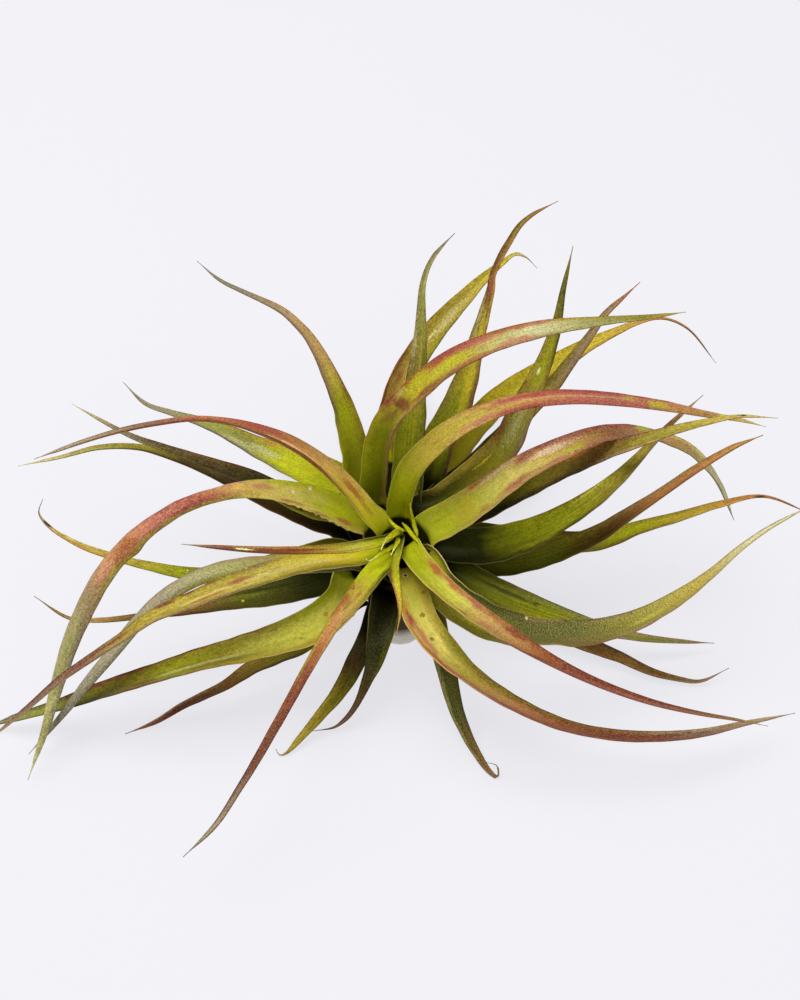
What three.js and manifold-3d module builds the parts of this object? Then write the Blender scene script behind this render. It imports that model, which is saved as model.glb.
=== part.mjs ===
// Air plant (tillandsia brachycaulos): a rosette of arching, channelled leaves on a short stem.
// Millimetres, +Z up. The origin is the middle of the flat foot of the stem.
// Every leaf is a piece of its own that leaves the stem and runs along its own curve.
import * as THREE from 'three';
import Module from 'manifold-3d';
import { mergeVertices } from 'three/addons/utils/BufferGeometryUtils.js';

const wasm = await Module();
wasm.setup();

// Driving dimensions
const HEART_HEIGHT = 42;          // height of the heart, where the youngest leaves stand
const MM_PER_PIXEL = 0.3;         // size of one photograph pixel at the heart
const STEM_PROFILE = [[7.5, 0], [9, 3.5], [8.6, 10], [7, 19], [5, 28], [2.6, 35], [0, 36]];
const STEM_SIDES = 16;
const CLEARANCE = 0.35;           // air between two neighbouring pieces
const SLIVER = 0.02;              // edges shorter than this are merged after a cut
const ROOT_SLOPE = 0.46;          // half width of a sheath for each mm from the stem's axis
const ROOT_HALF_WIDTH = 0.6;
const LEAST_HALF_WIDTH = 0.45;
const BASE_THICKNESS = 1.15;
const TIP_THICKNESS = 0.7;
const BASE_CUP = 0.62;            // depth of the channel, as a share of the half width
const TIP_CUP = 0.16;
const FLOOR_OF_CHANNEL = 0.45;    // half width of the flat bottom of the channel, as a share
const RING_STEP = 8.5;            // distance between two rings of a leaf
const FEWEST_RINGS = 7;

// The photograph's viewpoint, which turns a traced pixel and a height into a place in space
const VIEW = {
  pitch: THREE.MathUtils.degToRad(50),
  focalPixels: 1400,
  centrePixel: [400, 500],
  heartPixel: [400, 545],
};

// Leaf colours
const LIME = 0x9fae2e;
const OLIVE = 0x6d7327;
const DARK_OLIVE = 0x4a4e20;
const YELLOW = 0xc2b33a;
const ROSE = 0xa65a55;
const RUSSET = 0x8a5a2c;
const GREY_GREEN = 0x848b5c;

// One row for each leaf: name, colour, height in mm at which it leaves the stem, and the points
// of its middle line from the visible base to the tip. A point is [u, v, z, w]: pixel across,
// pixel down, height in mm, width in pixels.
const LEAVES = [
  ['young_leaf_1', LIME, 33, [[397, 534, 47, 5], [388, 540, 51, 5], [382, 545, 53, 4], [381, 551, 54, 2]]],
  ['young_leaf_2', LIME, 33, [[399, 540, 46, 5], [394, 548, 50, 4], [390, 555, 52, 2]]],
  ['leaf_01', RUSSET, 33, [[403, 538, 46, 8], [398, 560, 52, 8], [396, 585, 54, 8], [400, 610, 52, 6],
    [396, 636, 47, 2]]],
  ['leaf_02', ROSE, 32, [[405, 547, 45, 26], [420, 562, 49, 24], [445, 588, 52, 21], [480, 615, 52, 19],
    [520, 641, 50, 17], [560, 664, 46, 13], [600, 683, 41, 10], [650, 701, 35, 8], [700, 713, 28, 5],
    [735, 719, 24, 3], [768, 726, 20, 1]]],
  ['leaf_03', RUSSET, 32, [[388, 560, 44, 22], [372, 575, 48, 22], [355, 598, 51, 20], [335, 622, 52, 14],
    [318, 650, 52, 11], [300, 682, 49, 10], [280, 718, 44, 9], [258, 757, 38, 8], [238, 790, 32, 6],
    [215, 825, 26, 5], [183, 857, 21, 1]]],
  ['leaf_04', LIME, 33, [[392, 535, 45, 14], [380, 541, 48, 12], [350, 547, 53, 10], [320, 549, 56, 8],
    [290, 550, 60, 7], [250, 549, 64, 6], [220, 547, 66, 4], [181, 544, 68, 1]]],
  ['leaf_05', ROSE, 32, [[399, 517, 44, 26], [401, 495, 55, 24], [409, 472, 66, 26], [425, 452, 75, 24],
    [450, 431, 82, 23], [480, 415, 86, 20], [520, 402, 88, 17], [570, 397, 87, 15], [620, 400, 83, 13],
    [670, 407, 77, 10], [710, 415, 70, 6], [740, 420, 65, 4], [766, 427, 60, 1]]],
  ['leaf_06', ROSE, 24, [[374, 505, 36, 26], [374, 470, 53, 26], [378, 440, 67, 25], [390, 415, 79, 24],
    [415, 390, 89, 25], [450, 362, 96, 24], [490, 343, 101, 21], [540, 329, 101, 18],
    [600, 321, 98, 9], [645, 317, 93, 5], [686, 312, 87, 1]]],
  ['leaf_07', ROSE, 30, [[388, 533, 42, 24], [368, 510, 52, 20], [345, 482, 62, 17], [320, 460, 70, 15],
    [290, 441, 77, 13], [260, 429, 81, 10], [230, 421, 83, 6], [195, 418, 82, 5], [160, 422, 79, 5],
    [120, 430, 74, 5], [80, 442, 67, 4], [34, 459, 59, 1]]],
  ['leaf_08', ROSE, 31, [[424, 532, 40, 34], [450, 517, 48, 35], [480, 498, 57, 32], [520, 469, 66, 27],
    [560, 449, 70, 24], [600, 434, 71, 18], [635, 431, 66, 14], [665, 438, 58, 11], [690, 449, 52, 11],
    [708, 466, 45, 10], [722, 488, 35, 8], [734, 520, 21, 1]]],
  ['leaf_09', LIME, 30, [[384, 553, 40, 22], [350, 556, 46, 21], [310, 561, 51, 20], [270, 571, 54, 22],
    [230, 584, 55, 20], [190, 600, 54, 16], [150, 617, 51, 13], [120, 638, 46, 9], [90, 658, 41, 8],
    [60, 679, 35, 7], [30, 705, 28, 5], [-15, 743, 17, 1]]],
  ['leaf_10', ROSE, 28, [[403, 568, 38, 32], [413, 595, 40, 33], [425, 625, 41, 32], [447, 652, 39, 28],
    [475, 677, 35, 24], [510, 700, 30, 21], [560, 723, 24, 17], [610, 734, 19, 14], [660, 736, 16, 12],
    [705, 732, 14, 9], [745, 723, 13, 5], [795, 713, 13, 1]]],
  ['leaf_11', YELLOW, 19.5, [[385, 460, 40, 28], [388, 430, 50, 28], [394, 405, 58, 27], [405, 375, 67, 26],
    [425, 343, 76, 25], [445, 318, 82, 21], [465, 297, 87, 16], [485, 277, 91, 10], [502, 263, 94, 5],
    [515, 254, 95, 2.5], [526, 257, 93, 2], [537, 268, 88, 1]]],
  ['leaf_12', OLIVE, 27, [[415, 508, 38, 20], [440, 498, 42, 24], [460, 485, 47, 30], [490, 462, 55, 34],
    [508, 440, 62, 30], [521, 412, 70, 26], [533, 387, 77, 22], [544, 363, 83, 17], [552, 340, 89, 13],
    [558, 318, 94, 9], [562, 295, 99, 6], [573, 246, 109, 1]]],
  ['leaf_13', OLIVE, 20, [[365, 500, 34, 34], [360, 480, 41, 32], [354, 445, 53, 28], [345, 412, 64, 23],
    [336, 388, 73, 18], [324, 362, 80, 14], [310, 338, 85, 10], [295, 321, 88, 8], [280, 309, 89, 7],
    [260, 299, 90, 5], [240, 290, 90, 4], [220, 280, 91, 3], [197, 261, 93, 1]]],
  ['leaf_14', GREY_GREEN, 24, [[405, 505, 36, 32], [408, 470, 50, 32], [410, 440, 61, 31],
    [413, 410, 71, 27], [416, 380, 80, 20], [419, 350, 88, 15], [421, 320, 95, 10], [422, 290, 101, 6],
    [426, 272, 104, 5], [434, 256, 107, 4], [444, 244, 109, 3], [455, 233, 110, 1]]],
  ['leaf_15', OLIVE, 24, [[432, 560, 36, 38], [450, 590, 38, 38], [480, 615, 37, 36], [520, 631, 34, 33],
    [560, 633, 31, 29], [600, 630, 30, 25], [640, 618, 31, 20], [680, 596, 35, 15], [710, 574, 40, 9],
    [740, 548, 46, 6], [770, 527, 51, 4], [812, 505, 57, 1]]],
  ['leaf_16', ROSE, 29, [[372, 522, 38.5, 34], [355, 515, 42, 33], [330, 505, 47, 30], [300, 495, 54, 25],
    [260, 489, 61, 19], [220, 494, 65, 14], [180, 508, 66, 15], [140, 535, 62, 18], [110, 567, 54, 19],
    [90, 600, 45, 19], [72, 640, 34, 17], [58, 683, 23, 13], [45, 730, 13, 8], [28, 780, 3, 1]]],
  ['leaf_17', GREY_GREEN, 25, [[360, 560, 34, 22], [320, 562, 40, 22], [280, 565, 45, 20],
    [240, 567, 48, 18], [200, 577, 48, 16], [165, 597, 45, 15], [140, 620, 40, 14], [115, 650, 33, 13],
    [90, 680, 25, 11], [60, 718, 12, 6], [29, 754, 2, 1]]],
  ['leaf_18', OLIVE, 23.5, [[430, 505, 36, 24], [470, 470, 47, 24], [505, 435, 56, 21], [535, 402, 66, 18],
    [553, 384, 71, 15], [570, 362, 77, 12], [590, 335, 84, 8], [605, 314, 89, 6], [620, 300, 92, 4],
    [640, 282, 96, 1]]],
  ['leaf_19', LIME, 15, [[365, 500, 32, 36], [340, 482, 36, 36], [315, 470, 41, 35], [290, 460, 45, 31],
    [260, 448, 50, 22], [230, 433, 55, 15], [200, 421, 57, 9], [170, 412, 58, 5], [145, 403, 59, 4],
    [123, 382, 64, 1]]],
  ['leaf_20', RUSSET, 18.5, [[420, 500, 32, 30], [430, 470, 46, 33], [440, 440, 58, 34], [455, 410, 68, 32],
    [466, 380, 77, 25], [474, 350, 85, 17], [481, 325, 91, 13], [487, 303, 96, 10], [491, 287, 100, 8],
    [492, 277, 102, 5], [500, 258, 106, 7], [510, 240, 109, 6], [520, 225, 111, 5],
    [533, 214, 112, 3], [558, 201, 112, 1]]],
  ['leaf_21', LIME, 20, [[352, 575, 32, 34], [342, 600, 34, 36], [320, 620, 35, 38], [285, 636, 35, 33],
    [240, 649, 33, 28], [200, 659, 30, 27], [150, 674, 24, 23], [100, 690, 17, 19], [60, 704, 11, 13],
    [20, 716, 6, 8], [-15, 727, 2, 2]]],
  ['leaf_22', YELLOW, 15, [[430, 500, 28, 26], [445, 470, 39, 28], [465, 437, 51, 28], [490, 408, 63, 27],
    [520, 385, 69, 25], [560, 361, 73, 20], [585, 346, 75, 14], [610, 334, 76, 9], [635, 323, 77, 5],
    [655, 318, 77, 3], [672, 320, 74, 2], [690, 330, 69, 2], [716, 363, 54, 1]]],
  ['leaf_23', OLIVE, 25, [[435, 545, 30, 34], [470, 546, 32, 36], [500, 543, 36, 37], [530, 534, 42, 32],
    [560, 519, 49, 25], [590, 500, 56, 20], [620, 476, 61, 14], [645, 450, 65, 8], [670, 424, 68, 5],
    [703, 395, 70, 1]]],
  ['leaf_24', DARK_OLIVE, 20, [[440, 525, 28, 28], [480, 508, 37, 27], [520, 488, 47, 25],
    [560, 469, 57, 22], [600, 453, 66, 18], [640, 440, 74, 13], [680, 428, 77, 9], [720, 419, 80, 5],
    [740, 416, 81, 3], [778, 418, 78, 1]]],
  ['leaf_25', DARK_OLIVE, 16, [[386, 595, 28, 30], [385, 620, 29, 30], [380, 650, 25, 24],
    [371, 676, 18, 17], [361, 698, 11, 10], [350, 714, 6, 6], [338, 726, 2.5, 4], [313, 731, 1, 1]]],
  ['leaf_26', OLIVE, 15, [[345, 515, 26, 26], [310, 505, 30, 24], [280, 492, 34, 20], [250, 477, 38, 16],
    [220, 466, 41, 12], [190, 456, 44, 9], [160, 446, 46, 7], [130, 435, 49, 5], [72, 404, 57, 1]]],
  ['leaf_27', DARK_OLIVE, 12, [[378, 600, 24, 22], [368, 625, 24, 22], [360, 650, 21, 21],
    [350, 670, 17, 20], [335, 690, 12, 18], [318, 714, 7, 14], [300, 737, 3, 9], [287, 752, 1, 4],
    [277, 756, 1, 2]]],
  ['leaf_28', OLIVE, 12, [[425, 590, 24, 24], [435, 625, 24, 24], [443, 655, 21, 21], [450, 685, 16, 18],
    [457, 711, 10, 14], [467, 735, 5, 11], [478, 755, 2.5, 8], [490, 772, 1, 5], [497, 777, 1, 3],
    [497, 766, 4, 2], [485, 762, 5, 1]]],
  ['leaf_29', DARK_OLIVE, 17, [[445, 568, 24, 32], [480, 585, 23, 31], [520, 602, 20, 27],
    [560, 616, 17, 20], [600, 628, 13, 13], [640, 637, 9, 8], [680, 641, 6, 4], [714, 643, 4, 1]]],
  ['leaf_30', YELLOW, 13, [[340, 552, 24, 26], [300, 558, 27, 24], [250, 570, 28, 20], [215, 575, 29, 16],
    [185, 573, 31, 13], [150, 566, 34, 9], [125, 560, 36, 7], [105, 554, 38, 7], [85, 547, 40, 6],
    [65, 537, 42, 4], [50, 527, 44, 3], [39, 513, 48, 2], [43, 499, 52, 1]]],
  ['leaf_31', DARK_OLIVE, 8.5, [[350, 575, 19.5, 30], [300, 587, 24, 28], [260, 596, 25, 22],
    [220, 603, 25, 15], [180, 611, 24, 9], [140, 616, 24, 6], [100, 620, 25, 5], [70, 618, 27, 3],
    [34, 596, 36, 1]]],
  ['leaf_32', OLIVE, 9, [[345, 528, 20, 30], [310, 515, 23, 26], [280, 503, 26, 22], [250, 490, 29, 16],
    [225, 477, 32, 13], [200, 466, 34, 10], [170, 455, 37, 8], [140, 447, 38, 6], [100, 447, 37, 5],
    [60, 457, 34, 3], [18, 466, 33, 1]]],
  ['leaf_33', DARK_OLIVE, 7, [[330, 630, 20, 22], [300, 645, 19, 20], [275, 656, 17, 17],
    [250, 668, 14, 14], [225, 685, 10, 10], [200, 697, 7, 8], [180, 707, 4.5, 7], [157, 721, 2.5, 5],
    [125, 734, 1.5, 1]]],
  ['leaf_34', RUSSET, 13, [[445, 560, 18, 30], [480, 562, 20, 29], [520, 560, 24, 27], [560, 549, 30, 23],
    [595, 535, 38, 18], [625, 516, 46, 13], [660, 493, 55, 9], [700, 466, 64, 8], [735, 446, 70, 5],
    [763, 435, 72, 1]]],
  ['leaf_35', RUSSET, 9, [[445, 580, 16, 26], [500, 605, 12, 24], [550, 628, 9, 19], [590, 645, 6, 15],
    [620, 657, 4, 11], [650, 671, 3, 8], [680, 679, 2, 5], [700, 681, 2, 3], [729, 668, 5, 1]]],
  ['leaf_36', YELLOW, 5.5, [[450, 540, 15, 28], [500, 538, 17, 28], [550, 542, 21, 24], [600, 540, 26, 20],
    [640, 527, 32, 13], [680, 516, 37, 10], [720, 504, 42, 7], [762, 496, 46, 2.5],
    [812, 514, 38, 1]]],
  ['back_leaf_1', DARK_OLIVE, 6.5, [[425, 498, 14, 20], [447, 468, 15, 22], [470, 436, 13, 20],
    [490, 411, 9.5, 15], [508, 392, 5, 9], [520, 383, 2.5, 3]]],
  ['back_leaf_2', DARK_OLIVE, 4.5, [[404, 495, 16, 20], [406, 465, 19, 22], [409, 430, 18, 20],
    [412, 400, 13, 15], [415, 375, 7, 9], [417, 358, 2.5, 3]]],
  ['back_leaf_3', DARK_OLIVE, 8, [[374, 498, 15, 20], [363, 473, 18, 22], [353, 445, 17, 19],
    [345, 418, 12, 14], [338, 398, 6, 8], [334, 386, 2.5, 3]]],
  ['back_leaf_4', DARK_OLIVE, 4.5, [[354, 496, 11, 20], [335, 482, 13, 21], [312, 470, 12, 18],
    [290, 461, 9, 13], [268, 453, 5, 8], [252, 447, 2.5, 3]]],
  ['back_leaf_5', DARK_OLIVE, 3.5, [[440, 508, 11, 20], [470, 494, 13, 22], [503, 480, 12, 20],
    [533, 466, 9, 15], [558, 455, 5, 9], [574, 448, 2.5, 3]]],
  ['back_leaf_6', OLIVE, 9.5, [[392, 470, 25, 20], [390, 440, 34, 22], [398, 402, 41, 20],
    [411, 367, 45, 16], [427, 343, 46, 10], [440, 326, 46, 3]]],
  ['back_leaf_7', OLIVE, 12.5, [[424, 490, 24, 20], [436, 455, 34, 22], [450, 421, 43, 20],
    [461, 391, 48, 15], [471, 362, 50, 9], [477, 341, 50, 3]]],
  ['back_leaf_8', OLIVE, 12.5, [[366, 492, 22, 20], [357, 462, 30, 22], [350, 431, 36, 19],
    [341, 404, 39, 14], [332, 383, 40, 8], [325, 368, 40, 3]]],
  ['back_leaf_9', OLIVE, 11.5, [[438, 486, 21, 20], [460, 447, 30, 22], [484, 417, 35, 20],
    [510, 394, 37, 16], [537, 376, 37, 10], [557, 364, 36, 3]]],
];

// Unit vectors of the viewpoint and where it stands
function viewpoint() {
  const ahead = new THREE.Vector3(0, Math.cos(VIEW.pitch), -Math.sin(VIEW.pitch));
  const up = new THREE.Vector3(0, Math.sin(VIEW.pitch), Math.cos(VIEW.pitch));
  const across = new THREE.Vector3(1, 0, 0);
  const distance = MM_PER_PIXEL * VIEW.focalPixels;
  const rise = (VIEW.heartPixel[1] - VIEW.centrePixel[1]) / VIEW.focalPixels;
  const eye = new THREE.Vector3(0, 0, HEART_HEIGHT)
    .addScaledVector(ahead, -distance)
    .addScaledVector(up, distance * rise);
  return { ahead, up, across, eye };
}
const SIGHT = viewpoint();

// The place at height z that shows at pixel (u, v), and the size of a pixel there
function place(u, v, z) {
  const right = (u - VIEW.centrePixel[0]) / VIEW.focalPixels;
  const down = (v - VIEW.centrePixel[1]) / VIEW.focalPixels;
  const ray = SIGHT.ahead.clone()
    .addScaledVector(SIGHT.across, right)
    .addScaledVector(SIGHT.up, -down);
  const reach = (z - SIGHT.eye.z) / ray.z;
  return { point: SIGHT.eye.clone().addScaledVector(ray, reach), pixel: reach / VIEW.focalPixels };
}

// Radius of the stem at a height
function stemRadius(height) {
  for (let i = 1; i < STEM_PROFILE.length; i += 1) {
    const [r0, z0] = STEM_PROFILE[i - 1];
    const [r1, z1] = STEM_PROFILE[i];
    if (height <= z1) return THREE.MathUtils.mapLinear(height, z0, z1, r0, r1);
  }
  return 0;
}

// Middle line of a leaf, from the stem to the tip, with its half width along it
function middleLine(rootHeight, trace) {
  const knots = trace.map(([u, v, z, w]) => {
    const { point, pixel } = place(u, v, z);
    return { point, half: 0.5 * w * pixel };
  });
  const first = knots[0].point;
  const bearing = new THREE.Vector3(first.x, first.y, 0).normalize();
  const rootReach = stemRadius(rootHeight) + CLEARANCE;
  const root = bearing.clone().multiplyScalar(rootReach).setZ(rootHeight);
  const curve = new THREE.CatmullRomCurve3([root, ...knots.map((k) => k.point)], false, 'centripetal');
  const halves = [knots[0].half, ...knots.map((k) => k.half)];
  return { curve, halves, bearing };
}

// Rings along a leaf: eight points each, four on the upper face and four on the lower one
function leafRings(rootHeight, trace, grow) {
  const { curve, halves, bearing } = middleLine(rootHeight, trace);
  const knots = halves.length - 1;
  const steps = Math.max(FEWEST_RINGS, Math.round(curve.getLength() / RING_STEP));
  const rings = [];
  for (let i = 0; i <= steps; i += 1) {
    const along = i / steps;
    const t = curve.getUtoTmapping(along);
    const point = curve.getPoint(t);
    const tangent = curve.getTangent(t).normalize();
    const knot = Math.min(knots - 1, Math.floor(t * knots));
    const traced = THREE.MathUtils.lerp(halves[knot], halves[knot + 1], t * knots - knot);
    const reach = Math.hypot(point.x, point.y);
    const widest = ROOT_HALF_WIDTH + ROOT_SLOPE * reach;
    const outward = new THREE.Vector3(point.x, point.y, 0).addScaledVector(bearing, 10).normalize();
    const facing = new THREE.Vector3(0, 0, 0.8).addScaledVector(outward, -0.6);
    const normal = facing.addScaledVector(tangent, -facing.dot(tangent)).normalize();
    const across = normal.clone().cross(tangent);
    const seen = Math.max(0.72, across.clone().cross(SIGHT.ahead).length());
    const half = Math.max(LEAST_HALF_WIDTH, Math.min(traced / seen, widest)) + grow;
    const thick = THREE.MathUtils.lerp(BASE_THICKNESS, TIP_THICKNESS, along) / 2 + grow;
    const cup = 0.5 * half * THREE.MathUtils.lerp(BASE_CUP, TIP_CUP, Math.min(1, along * 1.25));
    const floor = FLOOR_OF_CHANNEL * half;
    const section = [
      [half, cup + thick], [floor, thick - cup], [-floor, thick - cup], [-half, cup + thick],
      [-half, cup - thick], [-floor, -cup - thick], [floor, -cup - thick], [half, cup - thick],
    ];
    const lowest = Math.min(...section.map(([b, n]) => point.z + b * across.z + n * normal.z));
    const lift = grow > 0 ? 0 : Math.max(0, -lowest);
    rings.push(section.map(([b, n]) => point.clone()
      .addScaledVector(across, b)
      .addScaledVector(normal, n)
      .add(new THREE.Vector3(0, 0, lift))));
  }
  return rings;
}

// Closed blade through the rings; both faces are split into triangles alike
function bladeGeometry(rings) {
  const corners = rings[0].length;
  const positions = rings.flat().flatMap((p) => [p.x, p.y, p.z]);
  const faces = [];
  const at = (ring, corner) => ring * corners + (corner % corners);
  for (let i = 0; i < rings.length - 1; i += 1) {
    for (let k = 0; k < corners; k += 1) {
      const a = at(i, k);
      const b = at(i, k + 1);
      const c = at(i + 1, k + 1);
      const d = at(i + 1, k);
      if (k < corners / 2) faces.push(a, b, c, a, c, d);
      else faces.push(a, b, d, b, c, d);
    }
  }
  const last = rings.length - 1;
  for (let k = 0; k < corners / 2 - 1; k += 1) {
    const under = corners - 1 - k;
    faces.push(at(0, k), at(0, under), at(0, k + 1), at(0, k + 1), at(0, under), at(0, under - 1));
    faces.push(at(last, k), at(last, k + 1), at(last, under));
    faces.push(at(last, k + 1), at(last, under - 1), at(last, under));
  }
  const geometry = new THREE.BufferGeometry();
  geometry.setAttribute('position', new THREE.Float32BufferAttribute(positions, 3));
  geometry.setIndex(faces);
  return geometry;
}

// Solid of a closed geometry, for cutting
function toSolid(geometry) {
  const bare = geometry.clone();
  bare.deleteAttribute('normal');
  bare.deleteAttribute('uv');
  const merged = mergeVertices(bare, 1e-4);
  return new wasm.Manifold(new wasm.Mesh({
    numProp: 3,
    vertProperties: new Float32Array(merged.attributes.position.array),
    triVerts: new Uint32Array(merged.index.array),
  }));
}

// Geometry of a solid, with plain face normals
function toGeometry(solid) {
  const mesh = solid.getMesh();
  const geometry = new THREE.BufferGeometry();
  geometry.setAttribute('position', new THREE.BufferAttribute(new Float32Array(mesh.vertProperties), 3));
  geometry.setIndex(new THREE.BufferAttribute(new Uint32Array(mesh.triVerts), 1));
  geometry.computeVertexNormals();
  return geometry;
}

// Short stem, widest just above its flat foot; grow widens it for cutting
function stemGeometry(grow) {
  const points = STEM_PROFILE.map(([r, z]) => new THREE.Vector2(r > 0 ? r + grow : 0, z));
  points[0].y -= grow;
  points[points.length - 1].y += grow;
  points.unshift(new THREE.Vector2(0, points[0].y));
  const geometry = new THREE.LatheGeometry(points, STEM_SIDES);
  geometry.rotateX(Math.PI / 2);
  return geometry;
}

// The largest body of a cut leaf; loose scraps are dropped
function largestBody(solid) {
  const bodies = solid.decompose();
  return bodies.reduce((best, body) => (body.volume() > best.volume() ? body : best));
}

const plant = new THREE.Group();
plant.name = 'air_plant';

function addPiece(name, geometry, color, roughness) {
  const material = new THREE.MeshStandardMaterial({ color, roughness, metalness: 0 });
  const mesh = new THREE.Mesh(geometry, material);
  mesh.name = name;
  plant.add(mesh);
}

addPiece('stem', stemGeometry(0), 0x5d4a2c, 0.85);

// Leaves from the innermost to the outermost; each is cut clear of those before it
const clearances = [toSolid(stemGeometry(CLEARANCE))];
for (const [name, color, rootHeight, trace] of LEAVES) {
  const whole = toSolid(bladeGeometry(leafRings(rootHeight, trace, 0)));
  const cut = clearances.reduce((leaf, other) => leaf.subtract(other), whole);
  const leaf = largestBody(cut.simplify(SLIVER));
  addPiece(name, toGeometry(leaf), color, 0.55);
  clearances.push(toSolid(bladeGeometry(leafRings(rootHeight, trace, CLEARANCE))));
}

export default plant;
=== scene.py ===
"""Looks of the air plant: fine leaves with channels, coloured margins and silvery scales.

Lengths are in millimetres until a mesh is made. Places on the plant are given by the pixel at which
they show in the photograph's frame of 800 by 1000 pixels.
"""
import math
import random

import bpy
import numpy as np
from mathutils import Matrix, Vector


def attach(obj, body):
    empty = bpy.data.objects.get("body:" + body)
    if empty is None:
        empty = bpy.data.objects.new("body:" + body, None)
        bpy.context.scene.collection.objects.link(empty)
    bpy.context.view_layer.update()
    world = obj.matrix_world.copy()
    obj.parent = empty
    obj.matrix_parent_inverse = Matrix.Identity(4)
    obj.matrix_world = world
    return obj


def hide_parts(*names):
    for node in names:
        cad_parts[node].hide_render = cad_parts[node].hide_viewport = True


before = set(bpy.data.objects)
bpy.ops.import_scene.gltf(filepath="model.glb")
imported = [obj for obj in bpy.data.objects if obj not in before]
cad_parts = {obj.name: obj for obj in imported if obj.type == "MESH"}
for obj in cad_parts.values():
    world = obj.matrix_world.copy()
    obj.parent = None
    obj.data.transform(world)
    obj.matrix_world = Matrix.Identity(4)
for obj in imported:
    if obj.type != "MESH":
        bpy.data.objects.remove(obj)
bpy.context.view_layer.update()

MM = 0.001

# Viewpoint of the photograph
PITCH = math.radians(50)
FOCAL_PIXELS = 1400
CENTRE_PIXEL = (400, 500)
HEART_PIXEL = (400, 545)
HEART_HEIGHT = 42
MM_PER_PIXEL = 0.3
LONG_SIDE_PIXELS = 1000
SENSOR_MM = 36
AHEAD = np.array([0, math.cos(PITCH), -math.sin(PITCH)])
UP = np.array([0, math.sin(PITCH), math.cos(PITCH)])
ACROSS = np.array([1.0, 0, 0])
DISTANCE = MM_PER_PIXEL * FOCAL_PIXELS
EYE = (np.array([0, 0, HEART_HEIGHT]) - DISTANCE * AHEAD
       + UP * DISTANCE * (HEART_PIXEL[1] - CENTRE_PIXEL[1]) / FOCAL_PIXELS)

# Stem, as radius and height
STEM_PROFILE = [(7.5, 0), (9, 3.5), (8.6, 10), (7, 19), (5, 28), (2.6, 35), (0, 36)]

# How finely the leaves are made
RING_STEP = 1.15
FEWEST_RINGS = 36
COLUMNS = 16
SAMPLES_A_SPAN = 24
SECTION_STEPS = 59
SLIVER_RINGS = 24
FLOOR_GAP = 0.05

# Base of a leaf: it starts inside the stem as a tight sheath
ROOT_SINK = 1.0
LEAST_ROOT_RADIUS = 0.2
SHEATH_SLOPE = 1.2
SHEATH_HALF_WIDTH = 1.4
SHEATH_ANGLE = 75
SHEATH_RUN = (1, -6)

# Width and thickness of a leaf
MOST_WIDENED = 1.7
MOST_SHIFTED = 1.8
TIP_LENGTH = 9
TIP_SHARE = 0.25
TIP_POWER = 0.7
TIP_HALF_WIDTH = 0.16
BASE_THICKNESS = 1.0
TIP_THICKNESS = 0.5
LEAF_PLUMPNESS = 0.5
SLIVER_PLUMPNESS = 0.4
THINNING = 0.7
THINNING_POWER = 2.5
SMOOTH_RINGS = 3
PROFILE_RINGS = 4

# A leaf faces up, and where it doesn't hang down steeply it also faces the middle of the plant
FACE_UP = 0.8
FACE_INWARD = 0.6
STEEP_DOWN = (-0.75, -0.35)
BEARING_WEIGHT = 10

# Margins of a leaf: a slight ripple along both, and waves and bumps on some
MARGIN_POWER = 3
FULL_TURN = 6.28
RIPPLE = 0.04
RIPPLE_BEATS = (0.55, 0.21)
WAVE_FADE = 0.05
WAVE_OVERTONE = (0.6, 1.7)
WAVE_LIFT = (0.8, 1.3)

# Painted shade: the dark between the bases of the leaves, painted into their colour
CREVICE_RADIUS = 4.0
CREVICE_SLOPE = 0.8
CREVICE_EDGE = (0.5, 1.2)
THROAT_EDGE = (-0.6, 0.3)
THROAT_CURVE = 1.2
THROAT_RUN = 0.4
BACK_LEAF_LIGHT = 0.3

# Bend of the narrow strips, pitch of the lines on a leaf, and how far the patterns of two leaves differ
SLIVER_BEND = 40
VEIN_PITCH = 5.0
PATTERN_SPREAD = 50

# Floor and the light from all around; the reach is in metres
FLOOR_REACH = 3.0
FLOOR_COLOUR = "#58585a"
FLOOR_GLOW = "#ecebf1"
FLOOR_GLOW_STRENGTH = 0.845
AROUND_COLOUR = (1.0, 0.98, 0.94, 1)
AROUND_STRENGTH = 0.27

# Named colours of the plant
COLOURS = {
    "bright": "#b7bb12", "lime": "#a2a60c", "green": "#8a8e0c", "leaf_green": "#696d10",
    "moss": "#474806", "deep": "#242705", "shade": "#0c0e02", "olive": "#7a710e", "khaki": "#9c8a2e",
    "yellow": "#a99b1c", "lemon": "#bfab2a", "buff": "#c2b356", "straw": "#cdbc78", "gold": "#b69547",
    "orange": "#b07a2c", "tan": "#a38048", "copper": "#ae7446", "rust": "#8b4826", "brown": "#6f4a1c",
    "umber": "#423010", "wine": "#6d2b20", "crimson": "#8c3538", "rose": "#a1574d", "pink": "#ba7b6d",
    "mauve": "#8a7154", "silver": "#c0ba8c", "grey_green": "#8f8c54", "sage": "#7c7c32",
    "grey": "#8f8570", "pale": "#d6da98", "maroon": "#612a22", "plum": "#6e5048", "slate": "#6d6658",
    # The first colour on the next line, a pale pink, is the colour of a painted highlight.
    "blush": "#dcbb9e", "soft": "#aaa63e",
}
DRY_SKIN = ("#c9c0b0", "#e8e2d8")

# What darkens or lightens the skin where it lies, by red, green and blue
FIBRE_SHADE = (0.5, 0.55, 0.35, 1)
MOTTLE_LIGHT = (1.38, 1.36, 1.22, 1)
VEIN_SHADE = (0.45, 0.42, 0.35, 1)
GRAIN_SHADE = (0.55, 0.5, 0.42, 1)
FINE_LIGHT = (1.5, 1.45, 1.3, 1)
BURNT_SHADE = (0.6, 0.42, 0.36, 1)
SHINE_TINT = (0.9, 0.9, 0.4, 1)

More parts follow.
